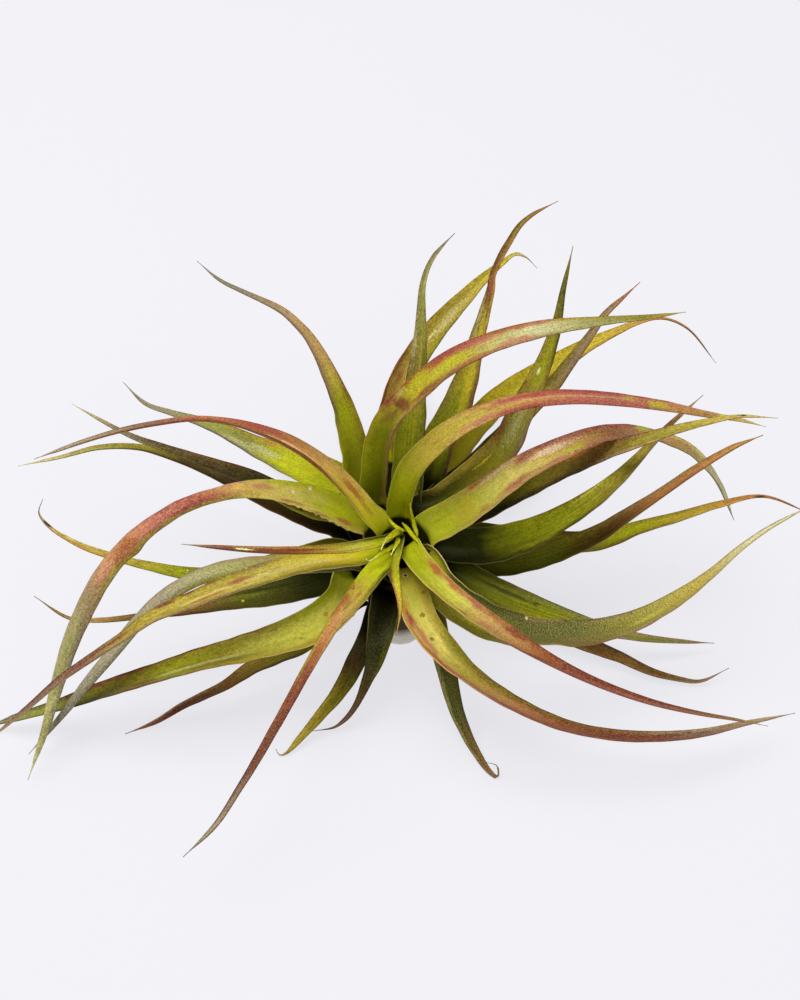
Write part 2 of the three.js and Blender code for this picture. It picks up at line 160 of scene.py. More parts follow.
# One row for each leaf: height at which it leaves the stem, and the points of its middle line from the
# visible base to the tip, each as pixel across, pixel down, height and width in pixels
TRACES = {
    "young_leaf_1": (33, "399 532 47 6, 392 535.5 51 6, 385 541 53 5, 381 550 54 2"),
    "young_leaf_2": (33, "400 539 46 5, 396 545 49 5, 391 555 52 2"),
    "leaf_01": (33, """
        403 537 46 4, 398 552 50 6.5, 395 566 52 7.5, 396 580 53.5 8.5, 399 595 54 6, 400 612 52 4,
        396 636 47 1.5"""),
    "leaf_02": (32, """
        407 545 45 24, 420 562 49 24, 445 588 52 21, 480 615 52 19, 520 641 50 17, 560 664 46 13,
        600 683 41 10, 650 701 35 8, 700 713 28 5, 735 719 24 3, 768 726 20 1"""),
    "leaf_03": (32, """
        394 552 44 19, 372 575 48 22, 355 598 51 20, 335 622 52 14, 318 650 52 11, 300 682 49 10,
        280 718 44 9, 258 757 38 8, 238 790 32 6, 215 825 26 5, 183 857 21 1"""),
    "leaf_04": (33, """
        395 535 45 6, 384 539.5 47 8, 372 542.5 50 11, 350 547 53 11, 320 549 56 8, 290 550 60 7,
        250 549 64 6, 220 547 66 4, 181 544 68 1"""),
    "leaf_05": (32, """
        399 517 44 26, 401 495 55 24, 409 472 66 26, 425 452 75 24, 450 431 82 23, 480 415 86 20,
        520 402 88 17, 570 397 87 15, 620 400 83 13, 670 407 77 10, 710 415 70 6, 740 420 65 4,
        766 427 60 1"""),
    "leaf_06": (24, """
        374 505 36 26, 374 470 53 26, 378 440 67 25, 390 415 79 24, 415 390 89 25, 450 362 96 24,
        490 343 101 21, 540 329 101 18, 600 321 98 9, 645 317 93 5, 686 312 87 1"""),
    "leaf_07": (30, """
        386 531 42 22, 368 510 52 20, 345 482 62 17, 320 460 70 15, 290 441 77 13, 260 429 81 10,
        230 421 83 6, 195 418 82 5, 160 422 79 5, 120 430 74 5, 80 442 67 4, 34 459 59 1"""),
    "leaf_08": (31, """
        424 532 40 34, 450 517 48 35, 480 498 57 32, 520 469 66 27, 560 449 70 24, 600 434 71 18,
        635 431 66 14, 665 438 58 11, 690 449 52 11, 708 466 45 10, 722 488 35 8, 734 520 21 1"""),
    "leaf_09": (30, """
        388 551 40 20, 350 556 46 21, 310 561 51 20, 270 571 54 22, 230 584 55 20, 190 600 54 16,
        150 617 51 13, 120 638 46 9, 90 658 41 8, 60 679 35 7, 30 705 28 5, -15 743 17 1"""),
    "leaf_10": (28, """
        403 568 38 32, 413 595 40 33, 425 625 41 32, 447 652 39 28, 475 677 35 24, 510 700 30 21,
        560 723 24 17, 610 734 19 14, 660 736 16 12, 705 732 14 9, 745 723 13 5, 795 713 13 1"""),
    "leaf_11": (19.5, """
        385 460 40 28, 388 430 50 28, 394 405 58 27, 405 375 67 26, 425 343 76 25, 445 318 82 21,
        465 297 87 16, 485 277 91 10, 502 263 94 5, 515 254 95 2.5, 526 257 93 2, 537 268 88 1"""),
    "leaf_12": (27, """
        415 508 38 20, 440 498 42 24, 460 485 47 30, 490 462 55 34, 508 440 62 30, 521 412 70 26,
        533 387 77 22, 544 363 83 17, 552 340 89 13, 558 318 94 9, 562 295 99 6, 573 246 109 1"""),
    "leaf_13": (20, """
        365 500 34 34, 360 480 41 32, 354 445 53 28, 345 412 64 23, 336 388 73 18, 324 362 80 14,
        310 338 85 10, 295 321 88 8, 280 309 89 7, 260 299 90 5, 240 290 90 4, 220 280 91 3,
        197 261 93 1"""),
    "leaf_14": (24, """
        405 505 36 32, 408 470 50 32, 410 440 61 31, 413 410 71 27, 416 380 80 20, 419 350 88 15,
        421 320 95 10, 422 290 101 6, 426 272 104 5, 434 256 107 4, 444 244 109 3, 455 233 110 1"""),
    "leaf_15": (24, """
        425 560 36 26, 441 588 38 35, 478 616 37 37, 520 631 34 33, 560 633 31 29, 600 630 30 25,
        640 618 31 20, 680 596 35 15, 710 574 40 9, 740 548 46 6, 770 527 51 4, 812 505 57 1"""),
    "leaf_16": (29, """
        372 522 38.5 34, 355 515 42 33, 330 505 47 30, 300 495 54 25, 260 489 61 19, 220 494 65 14,
        180 508 66 15, 140 535 62 18, 110 567 54 19, 90 600 45 19, 72 640 34 17, 58 683 23 13,
        45 730 13 8, 28 780 3 1"""),
    "leaf_17": (25, """
        360 560 34 22, 320 562 40 22, 280 565 45 20, 240 567 48 18, 200 577 48 16, 165 597 45 15,
        140 620 40 14, 115 650 33 13, 90 680 25 11, 60 718 12 6, 29 754 2 1"""),
    "leaf_18": (23.5, """
        430 505 36 24, 470 470 47 24, 505 435 56 21, 535 402 66 18, 553 384 71 15, 570 362 77 12,
        590 335 84 8, 605 314 89 6, 620 300 92 4, 640 282 96 1"""),
    "leaf_19": (15, """
        365 500 32 36, 340 482 36 36, 315 470 41 35, 290 460 45 31, 260 448 50 22, 230 433 55 15,
        200 421 57 9, 170 412 58 5, 145 403 59 4, 123 382 64 1"""),
    "leaf_20": (18.5, """
        420 500 32 30, 430 470 46 33, 440 440 58 34, 455 410 68 32, 466 380 77 25, 474 350 85 17,
        481 325 91 13, 487 303 96 10, 491 287 100 8, 492 277 102 5, 500 258 106 7, 510 240 109 6,
        520 225 111 5, 533 214 112 3, 558 201 112 1"""),
    "leaf_21": (20, """
        352 575 32 34, 342 600 34 36, 320 620 35 38, 285 636 35 33, 240 649 33 28, 200 659 30 27,
        150 674 24 23, 100 690 17 19, 60 704 11 13, 20 716 6 8, -15 727 2 2"""),
    "leaf_22": (15, """
        430 500 28 26, 445 470 39 28, 465 437 51 28, 490 408 63 27, 520 385 69 25, 560 361 73 20,
        585 346 75 14, 610 334 76 9, 635 323 77 5, 655 318 77 3, 672 320 74 2, 690 330 69 2,
        716 363 54 1"""),
    "leaf_23": (25, """
        435 545 30 34, 470 546 32 36, 500 543 36 37, 530 534 42 32, 560 519 49 25, 590 500 56 20,
        620 476 61 14, 645 450 65 8, 670 424 68 5, 703 395 70 1"""),
    "leaf_24": (20, """
        440 525 28 28, 480 508 37 27, 520 488 47 25, 560 469 57 22, 600 453 66 18, 640 440 74 13,
        680 428 77 9, 720 419 80 5, 740 416 81 3, 778 418 78 1"""),
    "leaf_25": (16, """
        387 595 28 30, 383 616 29 30, 380.5 632 28 27, 377 650 25.5 22, 372 667 21 14.5, 366 682 16 10,
        360 697 11.5 7, 352 711 7 5, 343 721 4 4, 334 727 2.5 3, 313 731 1 1"""),
    "leaf_26": (15, """
        345 515 26 26, 310 505 30 24, 280 492 34 20, 250 477 38 16, 220 466 41 12, 190 456 44 9,
        160 446 46 7, 130 435 49 5, 72 404 57 1"""),
    "leaf_27": (12, """
        380 600 24 20, 373 622 24 21, 366 643 22 21, 356 661 19.5 20, 346 680 15 17, 335 697 11 14,
        320 715 7 11, 301 737 3 7, 286 753 1 4, 280 755 1 2, 276 749 3 1"""),
    "leaf_28": (12, """
        425 590 24 24, 435 625 24 24, 443 655 21 21, 450 685 16 18, 457 711 10 14, 467 735 5 11,
        478 755 2.5 8, 490 772 1 5, 497 777 1 3, 497 766 4 2, 485 762 5 1"""),
    "leaf_29": (17, """
        445 568 24 32, 480 585 23 31, 520 602 20 27, 560 616 17 20, 600 628 13 13, 640 637 9 8,
        680 641 6 4, 714 643 4 1"""),
    "leaf_30": (13, """
        340 552 24 26, 300 558 27 24, 250 570 28 20, 215 575 29 16, 185 573 31 13, 150 566 34 9,
        125 560 36 7, 105 554 38 7, 85 547 40 6, 65 537 42 4, 50 527 44 3, 39 513 48 2, 43 499 52 1"""),
    "leaf_31": (8.5, """
        350 575 19.5 30, 300 587 24 28, 260 596 25 22, 220 603 25 15, 180 611 24 9, 140 616 24 6,
        100 620 25 5, 70 618 27 3, 34 596 36 1"""),
    "leaf_32": (9, """
        345 528 20 30, 310 515 23 26, 280 503 26 22, 250 490 29 16, 225 477 32 13, 200 466 34 10,
        170 455 37 8, 140 447 38 6, 100 447 37 5, 60 457 34 3, 18 466 33 1"""),
    "leaf_33": (7, """
        368 603 15 3, 355 607 18 8, 332 626 20 13, 300 645 19 19, 275 656 17 17, 250 668 14 14,
        225 685 10 10, 200 697 7 8, 180 707 4.5 7, 157 721 2.5 5, 125 734 1.5 1"""),
    "leaf_34": (13, """
        445 560 18 30, 480 562 20 29, 520 560 24 27, 560 549 30 23, 595 535 38 18, 625 516 46 13,
        660 493 55 9, 700 466 64 8, 735 446 70 5, 763 435 72 1"""),
    "leaf_35": (9, """
        445 580 16 26, 500 605 12 24, 550 628 9 19, 590 645 6 15, 620 657 4 11, 650 671 3 8,
        680 679 2 5, 700 681 2 3, 729 668 5 1"""),
    "leaf_36": (5.5, """
        450 540 15 28, 500 538 17 28, 550 542 21 24, 600 540 26 20, 640 527 32 13, 680 516 37 10,
        720 504 42 7, 762 496 46 2.5, 812 514 38 1"""),
    "back_leaf_1": (6.5, """
        425 498 14 20, 447 468 15 22, 470 436 13 20, 490 411 9.5 15, 508 392 5 9, 520 383 2.5 3"""),
    "back_leaf_2": (4.5, """
        404 495 16 20, 406 465 19 22, 409 430 18 20, 412 400 13 15, 415 375 7 9, 417 358 2.5 3"""),
    "back_leaf_3": (8, """
        374 498 15 20, 363 473 18 22, 353 445 17 19, 345 418 12 14, 338 398 6 8, 334 386 2.5 3"""),
    "back_leaf_4": (4.5, """
        354 496 11 20, 335 482 13 21, 312 470 12 18, 290 461 9 13, 268 453 5 8, 252 447 2.5 3"""),
    "back_leaf_5": (3.5, """
        440 508 11 20, 470 494 13 22, 503 480 12 20, 533 466 9 15, 558 455 5 9, 574 448 2.5 3"""),
    "back_leaf_6": (9.5, """
        392 470 25 20, 390 440 34 22, 398 402 41 20, 411 367 45 16, 427 343 46 10, 440 326 46 3"""),
    "back_leaf_7": (12.5, """
        424 490 24 20, 436 455 34 22, 450 421 43 20, 461 391 48 15, 471 362 50 9, 477 341 50 3"""),
    "back_leaf_8": (12.5, """
        366 492 22 20, 357 462 30 22, 350 431 36 19, 341 404 39 14, 332 383 40 8, 325 368 40 3"""),
    "back_leaf_9": (11.5, """
        438 486 21 20, 460 447 30 22, 484 417 35 20, 510 394 37 16, 537 376 37 10, 557 364 36 3"""),
}

# Narrow strips of green that show between the leaves in the heart, traced in the same way
SLIVERS = {
    "sliver_1": "388 519 46 1, 393 524 46 3.5, 397 527.5 46 4.5, 402 530 46 4, 406 531 45 1",
    "sliver_2": """
        410 503 55 1, 411 512 52 3, 413 520 49 4.5, 415 528 47 5, 417 534 46 3.5, 417 538 45 1""",
    "sliver_3": """
        402 522.5 45 1, 406 527 46 4, 410 532 47 5, 414 537 48 4.5, 418 542 49 3, 421 547 49 1""",
    "sliver_4": "397 543 47 3, 389 549 50 5, 380 554 51 5, 373 559 51 3.5, 369 561 51 2, 366 559 52 1",
}

LOWER_LEAVES = ("leaf_25", "leaf_27", "leaf_28", "leaf_29", "leaf_31", "leaf_33", "leaf_35",
                "back_leaf_1", "back_leaf_2", "back_leaf_3", "back_leaf_4", "back_leaf_5")


def look(body, left, right, silver, **more):
    """Looks of a leaf: its colours from base to tip, its scales, and what else it has."""
    return dict(body=body, left=left, right=right, silver=silver, **more)


# Looks of the leaves. The first three texts are the colours from base to tip along the middle, the left
# margin and the right one, seen from above with the tip ahead; where a row begins with the colour shade,
# that is painted shade at the base. Then comes how thick the pale scales lie at the base and at the tip.
# under: colour of the lower face, and its strength
# fold: share of the length, and the angles to which the left and the right half bend up there
# keel: below one the fold is a sharp one, above one only the margins curl
# rim: how clearly a thin pale edge shows; deep: how much further up the painted shade at the base reaches
# veins: first and last share of the length at which the middle shows lines, and their strength
# crease: the same for a pale line along the fold, a painted highlight
# bumps: where the margin swells, by pixel across and down, with length and height
# waves: first and last share of a wavy margin, its side (1 left, -1 right), height and length
# marks: ragged patches, by colour, pixel across and down, length and width in pixels, and strength
# spots: round ones, by colour of the ring, colour inside, pixel across and down, and size in pixels
LOOKS = {
    "young_leaf_1": look(
        "lime lime bright pale", "lime bright pale", "lime bright pale", (0, 0.1), rim=0.5),
    "young_leaf_2": look(
        "lime lime bright pale", "lime bright pale", "green lime pale", (0, 0.1), rim=0.3),
    "leaf_01": look(
        "deep moss green green lime yellow khaki tan", "deep leaf_green lime lime yellow khaki gold",
        "deep moss green olive orange orange brown copper", (0, 0.2),
        fold="0 50 50, 0.4 55 60, 1 60 60"),
    "leaf_02": look(
        "green green soft tan rust wine maroon wine brown khaki",
        "green khaki tan rust wine wine wine brown olive",
        "leaf_green green khaki tan rust rose mauve grey silver", (0, 0.3), under=("rose", 0.7),
        keel=0.8, rim=0.5, fold="0 30 30, 0.3 40 40, 0.48 60 80, 0.8 65 85, 1 60 60", marks="""
            rust 437 571 30 9 0.9, rust 455 585 34 8 0.9, crimson 476 604 26 9 0.9,
            wine 512 630 30 7 0.9, rust 492 614 44 8 0.8, brown 463 612 12 4 0.6,
            rose 486 625 24 6 0.5, rust 530 655 40 4 0.7"""),
    "leaf_03": look(
        "green lime khaki tan rust wine maroon maroon plum grey grey",
        "deep moss olive tan wine wine plum mauve grey", "lime lime khaki khaki rust maroon plum grey",
        (0, 0.3), under=("maroon", 0.6), fold="0 30 30, 0.3 40 40, 0.5 60 60, 1 70 70",
        bumps="349 620 1.3 1.2", marks="""
            rust 351 587 14 7 0.9, rust 340 604 40 9 0.9, rust 358 597 16 4 0.6, wine 352 590 6 3 0.8,
            brown 346 606 16 4 0.7, copper 330 628 40 10 0.6, wine 296 688 60 8 1.0"""),
    # The pale mark at pixel 242 550 is a painted glint.
    "leaf_04": look(
        "green lime soft khaki rust wine wine plum silver",
        "green lime soft khaki brown wine wine rust", "deep moss olive khaki orange tan rust mauve",
        (0, 0.2), fold="0 45 45, 0.4 65 65, 1 70 70", keel=0.7,
        marks="wine 285 552 110 3 0.9, rust 345 551 60 3 0.7, pale 242 550 18 3 1.0"),
    "leaf_05": look(
        "green lime khaki khaki copper rose rose copper tan buff",
        "green green khaki tan rust wine rust brown khaki",
        "lime green khaki tan crimson crimson rose tan tan straw", (0, 0.25), veins=(0.35, 0.75, 0.8),
        deep=0.9, crease=(0.42, 0.68, 0.3),
        fold="0 45 45, 0.25 35 30, 0.42 -20 -25, 0.8 -25 -30, 1 -30 -30", marks="""
            rust 436 441 10 3 0.6, rust 478 407 44 4 0.6, crimson 520 398 80 6 0.9,
            crimson 590 391 110 7 0.9, rose 482 421 50 5 0.8, crimson 525 409 70 6 0.9,
            rose 590 404 110 6 0.9, lime 658 404 26 7 0.7, khaki 628 400 16 8 0.6,
            bright 722 417 14 6 0.8"""),
    # The silver among the middle colours of this leaf is a painted highlight.
    "leaf_06": look(
        "leaf_green green green yellow khaki silver grey_green olive khaki",
        "green lime yellow orange tan khaki olive khaki",
        "khaki tan tan brown mauve grey_green grey_green khaki", (0, 0.25), under=("tan", 0.8),
        keel=2.0, veins=(0.48, 0.8, 0.5),
        fold="0 35 90, 0.08 35 170, 0.28 30 170, 0.36 25 60, 0.6 25 25, 1 40 40", marks="""
            rust 391 398 26 12 0.9, crimson 389 400 10 6 0.8, rust 408 382 22 8 0.9,
            rust 432 364 44 11 1.0, crimson 440 355 34 5 0.9, wine 401 406 22 16 0.9,
            brown 390 415 24 12 0.6, crimson 466 345 50 9 0.9, rose 480 341 44 8 0.7,
            rust 502 331 50 6 0.8, rose 535 324 50 4 0.7, wine 425 391 50 6 0.8, rust 478 358 50 7 0.7,
            rose 516 342 40 8 0.7, lime 419 378 30 9 0.7, lime 452 361 44 8 0.6, straw 400 392 14 6 0.4"""),
    "leaf_07": look(
        "bright lemon gold copper rust rust plum mauve grey grey",
        "bright khaki rust mauve rust brown mauve grey", "bright gold tan rust rose plum mauve grey",
        (0, 0.3), under=("rust", 0.5), keel=0.7, deep=0.6,
        fold="0 40 40, 0.12 50 35, 0.28 100 30, 0.6 100 30, 1 60 50", marks="""
            rust 352 490 40 8 0.8, rust 366 508 24 5 0.5, lime 372 520 30 8 0.5,
            crimson 250 424 80 6 0.9, straw 300 450 60 3 0.7"""),
    # The pale pink mark at pixel 552 448 and the silver mark at pixel 500 470 are painted highlights.
    "leaf_08": look(
        "lime lime buff gold rust copper tan silver silver",
        "lime khaki copper crimson rust buff silver silver",
        "lime khaki tan rust brown khaki grey_green sage", (0.2, 0.6), deep=1.0,
        fold="0 45 45, 0.15 30 35, 0.5 25 30, 0.7 35 35, 1 40 40", marks="""
            rust 478 482 44 6 0.8, rust 497 469 30 7 0.9, crimson 526 457 26 14 0.9,
            crimson 545 443 44 8 1.0, crimson 580 430 60 9 1.0, crimson 612 425 40 8 0.9,
            rose 567 438 40 14 0.7, rose 512 486 30 10 0.8, rust 524 480 36 8 0.8,
            rose 566 456 44 9 0.8, rose 600 440 40 8 0.6, yellow 468 511 32 24 1.0,
            rust 484 508 10 8 0.5, lime 574 449 26 9 0.8, lime 643 428 24 10 1.0,
            blush 552 448 50 8 0.9, silver 500 470 50 5 0.5"""),
    "leaf_09": look(
        "lime lemon buff khaki khaki plum plum mauve", "lime khaki olive mauve mauve brown mauve grey",
        "bright lemon khaki khaki khaki plum maroon mauve", (0, 0.3), under=("silver", 0.7),
        veins=(0.25, 0.6, 0.7), crease=(0.12, 0.5, 0.6),
        fold="0 40 40, 0.3 40 50, 0.55 50 60, 1 65 65", marks="""
            rust 237 582 24 6 0.9, rust 205 600 44 4 0.7, wine 208 582 14 4 0.9, wine 190 590 20 4 0.9,
            wine 165 604 26 4 0.9, mauve 252 566 40 5 0.8, wine 112 643 50 4 0.9, wine 80 664 60 4 0.9""",
        spots="straw pale 247 566 4, brown khaki 221 577 4"),
    # The spot at pixel 405 577 is a hole that is only painted: its dark middle is painted shade.
    "leaf_10": look(
        "lemon soft buff khaki copper rust wine wine plum mauve grey",
        "lemon khaki olive brown brown brown mauve mauve silver",
        "buff gold copper rose crimson rose crimson crimson mauve grey", (0, 0.35), rim=0.6,
        fold="0 30 35, 0.3 35 30, 0.6 55 30, 1 50 40", marks="""
            orange 404 606 24 8 0.9, crimson 411 620 18 9 0.9, rose 424 643 44 9 0.8,
            rust 440 664 50 8 0.8, rose 472 691 60 13 0.9, crimson 505 709 70 12 0.9,
            leaf_green 455 655 50 9 0.5, khaki 430 610 60 12 0.5, olive 500 690 60 7 0.7,
            olive 545 710 60 6 0.5""",
        spots="""
            pale shade 405 577 8, brown olive 423 617 7, brown olive 430 642 6, brown khaki 424 592 6"""),
    "leaf_11": look(
        "lime khaki gold khaki khaki yellow straw", "lime gold gold khaki lemon yellow straw",
        "umber brown brown olive khaki yellow straw", (0, 0.3), fold="0 50 50, 0.5 40 40, 1 60 60",
        keel=0.6, marks="""
            rust 383 396 60 5 0.9, rust 400 362 40 5 0.7, silver 447 320 50 10 0.35,
            pale 433 334 10 3 0.8, green 424 360 50 9 0.6, rust 398 376 14 7 0.6"""),
    # The lemon mark at pixel 485 461 is a painted highlight along the fold.
    "leaf_12": look(
        "shade moss olive sage khaki olive moss olive",
        "shade khaki khaki brown khaki khaki moss olive",
        "shade umber brown mauve khaki moss moss olive", (0.05, 0.2), under=("moss", 0.4), keel=0.5,
        fold="0 60 50, 0.3 60 40, 0.5 45 45, 1 60 60", marks="""
            lemon 485 461 30 2 0.9, silver 518 419 50 12 0.25, brown 500 432 40 8 0.5,
            green 541 372 34 12 0.9, pale 538 371 8 3 0.9, green 550 345 40 8 0.7"""),
    "leaf_13": look(
        "green green bright tan mauve slate slate", "green bright lime mauve plum slate slate",
        "green olive yellow tan tan slate slate", (0, 0.3), under=("mauve", 0.4), keel=0.6,
        fold="0 60 45, 0.4 50 35, 1 60 60",
        marks="mauve 333 402 70 5 0.8, mauve 320 366 50 5 0.8, rust 341 378 50 4 0.6"),
    "leaf_14": look(
        "green lime lime khaki sage sage plum", "green lime green khaki sage grey plum",
        "deep moss leaf_green olive sage grey_green slate", (0.05, 0.3), keel=0.5,
        veins=(0.1, 0.8, 0.9), fold="0 50 50, 0.4 45 45, 1 65 65",
        marks="silver 413 342 60 6 0.6, moss 422 380 60 5 0.7, moss 417 440 60 6 0.5"),
    "leaf_15": look(
        "lime olive moss moss olive khaki silver silver",
        "khaki moss moss moss olive khaki grey slate",
        "lime olive olive brown mauve khaki silver grey", (0.1, 0.6), under=("silver", 0.7),
        fold="0 90 30, 0.2 100 30, 0.35 60 30, 0.6 40 40, 1 60 60", marks="""
            mauve 560 617 90 5 0.6, plum 620 607 70 5 0.6, lime 470 622 60 16 0.6,
            soft 648 618 40 6 0.5, brown 575 640 60 10 0.5""",
        spots="umber shade 631 613 4, pale pale 527 617 5"),
    "leaf_16": look(
        "green lime buff gold crimson rose copper mauve grey_green grey_green grey_green silver",
        "khaki buff buff khaki khaki khaki mauve grey grey silver",
        "lime lime lime pink crimson rose rose mauve grey_green silver silver", (0.05, 0.5),
        fold="0 45 30, 0.2 35 20, 0.32 -55 -55, 0.8 -75 -75, 1 -50 -50", waves="0.03 0.24 1 0.35 3.2",
        bumps="137 551 3.0 1.0", marks="""
            rust 345 521 26 6 0.8, rust 320 517 30 5 0.7, rust 290 503 34 5 0.7, rose 262 488 30 6 0.7,
            rust 128 546 26 14 0.9, rust 120 558 24 10 0.8, pink 103 573 30 8 0.6,
            mauve 84 610 16 8 0.6, green 340 500 40 14 0.5""",
        spots="straw pale 293 491 6, straw pale 308 488 7, olive olive 340 493 5"),
    "leaf_17": look(
        "moss sage grey_green grey grey slate grey", "deep deep olive sage slate slate slate",
        "moss khaki mauve mauve grey grey grey", (0.2, 0.5), fold="0 40 40, 0.4 -40 -50, 1 -50 -50",
        marks="mauve 250 561 60 4 0.8"),
    "leaf_18": look(
        "umber brown brown khaki mauve mauve rust", "moss umber olive olive khaki mauve copper",
        "umber brown brown tan mauve mauve rust", (0, 0.25), under=("brown", 0.4),
        fold="0 50 50, 0.5 60 60, 1 70 70", keel=0.6),
    # The bright lime and the yellow mark near the base of this leaf are painted light that shines through
    # it.
    "leaf_19": look(
        "lime lime bright sage sage slate slate", "lime lime lime slate slate grey grey",
        "green lime lemon khaki sage grey grey", (0, 0.35), under=("moss", 0.5),
        fold="0 50 30, 0.5 50 30, 0.7 70 40, 1 60 60", marks="""
            silver 262 452 40 10 0.5, silver 240 443 40 8 0.45, orange 268 444 14 6 0.7,
            yellow 305 468 20 5 0.7""",
        spots="khaki pale 276 458 4"),
    "leaf_20": look(
        "shade deep green green yellow khaki brown brown olive copper",
        "shade moss lime khaki khaki brown brown copper",
        "shade deep brown brown khaki orange brown rust", (0, 0.3), under=("brown", 0.4), keel=0.5,
        fold="0 50 45, 0.4 50 40, 0.7 65 65, 1 70 70", marks="""
            yellow 470 385 70 9 0.9, yellow 478 340 40 6 0.7, crimson 491 286 20 7 0.9,
            sage 446 400 60 9 0.5, silver 478 318 50 4 0.5"""),
    "leaf_21": look(
        "green soft soft olive green olive leaf_green sage slate",
        "moss olive khaki yellow brown moss sage slate",
        "green green olive olive olive wine moss slate", (0, 0.2), rim=0.5, keel=0.7,
        veins=(0.35, 0.65, 0.8), crease=(0.34, 0.56, 0.5), fold="0 40 40, 0.3 35 30, 1 45 45",
        marks="""
            wine 235 636 80 3 0.9, wine 180 649 70 4 0.9, wine 118 672 70 5 0.9, wine 140 684 40 7 0.9,
            rust 215 671 60 3 0.8, soft 262 645 70 12 0.5""",
        spots="""
            rust khaki 324 614 6, brown leaf_green 277 629 6, brown khaki 300 640 4,
            brown khaki 191 664 4"""),
    "leaf_22": look(
        "moss olive yellow yellow lemon tan tan rust", "moss olive yellow lemon lemon gold tan rust",
        "deep olive yellow brown khaki orange rust rust", (0, 0.15), keel=0.7, veins=(0.55, 0.8, 0.8),
        marks="lemon 572 350 30 6 0.8"),
    "leaf_23": look(
        "shade deep green green olive khaki brown tan", "shade deep lime green green khaki brown tan",
        "shade deep moss moss grey_green grey tan", (0, 0.15), rim=0.1, keel=0.7,
        veins=(0.3, 0.9, 0.6), fold="0 60 40, 0.3 45 35, 1 60 60",
        marks="buff 590 492 60 2 0.7, moss 520 545 60 8 0.5"),
    "leaf_24": look(
        "shade deep olive brown olive khaki gold", "umber copper orange brown khaki straw",
        "umber shade umber mauve khaki straw", (0, 0.3), under=("umber", 0.6),
        marks="brown 546 470 50 8 0.5, moss 575 466 40 7 0.4, shade 743 416 8 4 0.9"),
    "leaf_25": look(
        "shade shade deep umber plum mauve", "shade deep moss umber brown mauve",
        "shade deep deep umber umber mauve", (0, 0.15), veins=(0.2, 0.8, 0.8)),
    "leaf_26": look(
        "olive shade deep umber umber slate straw", "shade olive umber umber olive grey silver",
        "deep moss umber brown umber mauve straw", (0, 0.25), under=("umber", 0.5),
        fold="0 50 40, 0.4 80 40, 1 70 60"),
    "leaf_27": look(
        "shade shade umber olive khaki khaki", "shade shade deep olive khaki khaki",
        "shade shade umber khaki khaki khaki", (0, 0.1), veins=(0.2, 0.8, 0.8)),
    "leaf_28": look(
        "leaf_green moss moss moss brown mauve", "moss olive moss umber brown grey",
        "moss sage grey_green grey_green mauve mauve", (0.05, 0.3), veins=(0.2, 0.8, 0.8)),
    "leaf_29": look(
        "shade leaf_green green sage sage mauve", "shade moss sage grey_green mauve tan",
        "shade moss khaki grey_green grey grey", (0, 0.15), keel=0.6, veins=(0.2, 0.9, 1.0),
        marks="deep 505 592 90 4 0.8"),
    "leaf_30": look(
        "moss green green olive olive green khaki khaki gold straw grey",
        "umber olive olive green green khaki gold grey", "moss khaki olive green khaki buff grey",
        (0, 0.15), marks="shade 46 524 14 5 1.0, brown 60 535 24 3 0.7, rust 75 543 30 2 0.6",
        spots="khaki pale 186 570 4"),
    "leaf_31": look(
        "shade deep moss brown brown tan tan", "shade deep moss umber umber tan mauve",
        "shade deep moss brown brown tan mauve", (0, 0.15), under=("umber", 0.4), keel=0.6,
        veins=(0.1, 0.9, 1.0), marks="deep 275 586 80 4 0.8, leaf_green 245 597 70 5 0.7",
        spots="lemon lemon 242 601 4"),
    "leaf_32": look(
        "shade umber umber umber olive grey_green straw", "shade brown umber umber sage silver",
        "umber umber brown khaki khaki straw", (0, 0.15), under=("umber", 0.5),
        fold="0 50 40, 0.4 80 40, 1 70 60"),
    "leaf_33": look(
        "umber moss olive brown maroon rose", "grey olive umber brown maroon pink",
        "deep khaki khaki brown mauve grey", (0, 0.2), veins=(0.1, 0.9, 0.7)),
    "leaf_34": look(
        "deep moss leaf_green brown copper copper gold", "deep moss olive tan tan copper",
        "deep moss olive olive copper tan", (0, 0.15), under=("umber", 0.4),
        fold="0 45 45, 0.5 60 60, 1 70 70", keel=0.6, veins=(0.2, 0.8, 0.8)),
    "leaf_35": look(
        "shade umber brown brown brown mauve", "shade umber brown umber brown mauve",
        "umber brown mauve brown mauve grey", (0, 0.2), veins=(0.2, 0.9, 0.8)),
    "leaf_36": look(
        "moss moss olive green bright lemon orange rust rose",
        "moss moss brown yellow khaki copper mauve", "moss moss olive khaki buff copper mauve",
        (0, 0.15), marks="shade 758 498 12 4 0.9"),
}
LOOKS.update({name: look(
    "lime lime lime lime", "green lime lime green", "leaf_green green green green", (0, 0),
    rim=0.3) for name in SLIVERS})
LOOKS["sliver_4"].update(body="green lime lime pale")

# The leaves of the far side, which the photograph doesn't show, take the looks of their kind
LOW_BACK_LOOK = look(
    "shade moss olive brown brown", "shade umber brown tan mauve", "shade umber brown tan mauve",
    (0.1, 0.5), veins=(0.1, 0.9, 0.8))
BACK_LOOK = look(
    "deep leaf_green olive khaki khaki rust", "moss olive rust rust crimson rust",
    "moss olive khaki rust rust mauve", (0.1, 0.5), veins=(0.2, 0.8, 0.5))
LOOKS.update({name: LOW_BACK_LOOK if name in LOWER_LEAVES else BACK_LOOK
              for name in TRACES if name.startswith("back_leaf")})

# What a leaf has where its row says nothing else
DEFAULT_FOLD = "0 48 48, 0.4 38 38, 0.8 45 45, 1 60 60"
DEFAULT_UNDER = ("sage", 0.3)
DEFAULT_RIM = 0.2


def linear(hex_colour):
    """Linear RGBA of an sRGB hex colour."""
    parts = [int(hex_colour[i:i + 2], 16) / 255 for i in (1, 3, 5)]
    return [p / 12.92 if p <= 0.04045 else ((p + 0.055) / 1.055) ** 2.4 for p in parts] + [1.0]


def colour(name):
    """Linear RGBA of a named colour of the plant."""
    return linear(COLOURS[name])


def rows(text):
    """Rows of words and numbers from a text in which commas part the rows."""
    return [[word if word[0].isalpha() else float(word) for word in row.split()]
            for row in text.split(",") if row.strip()]


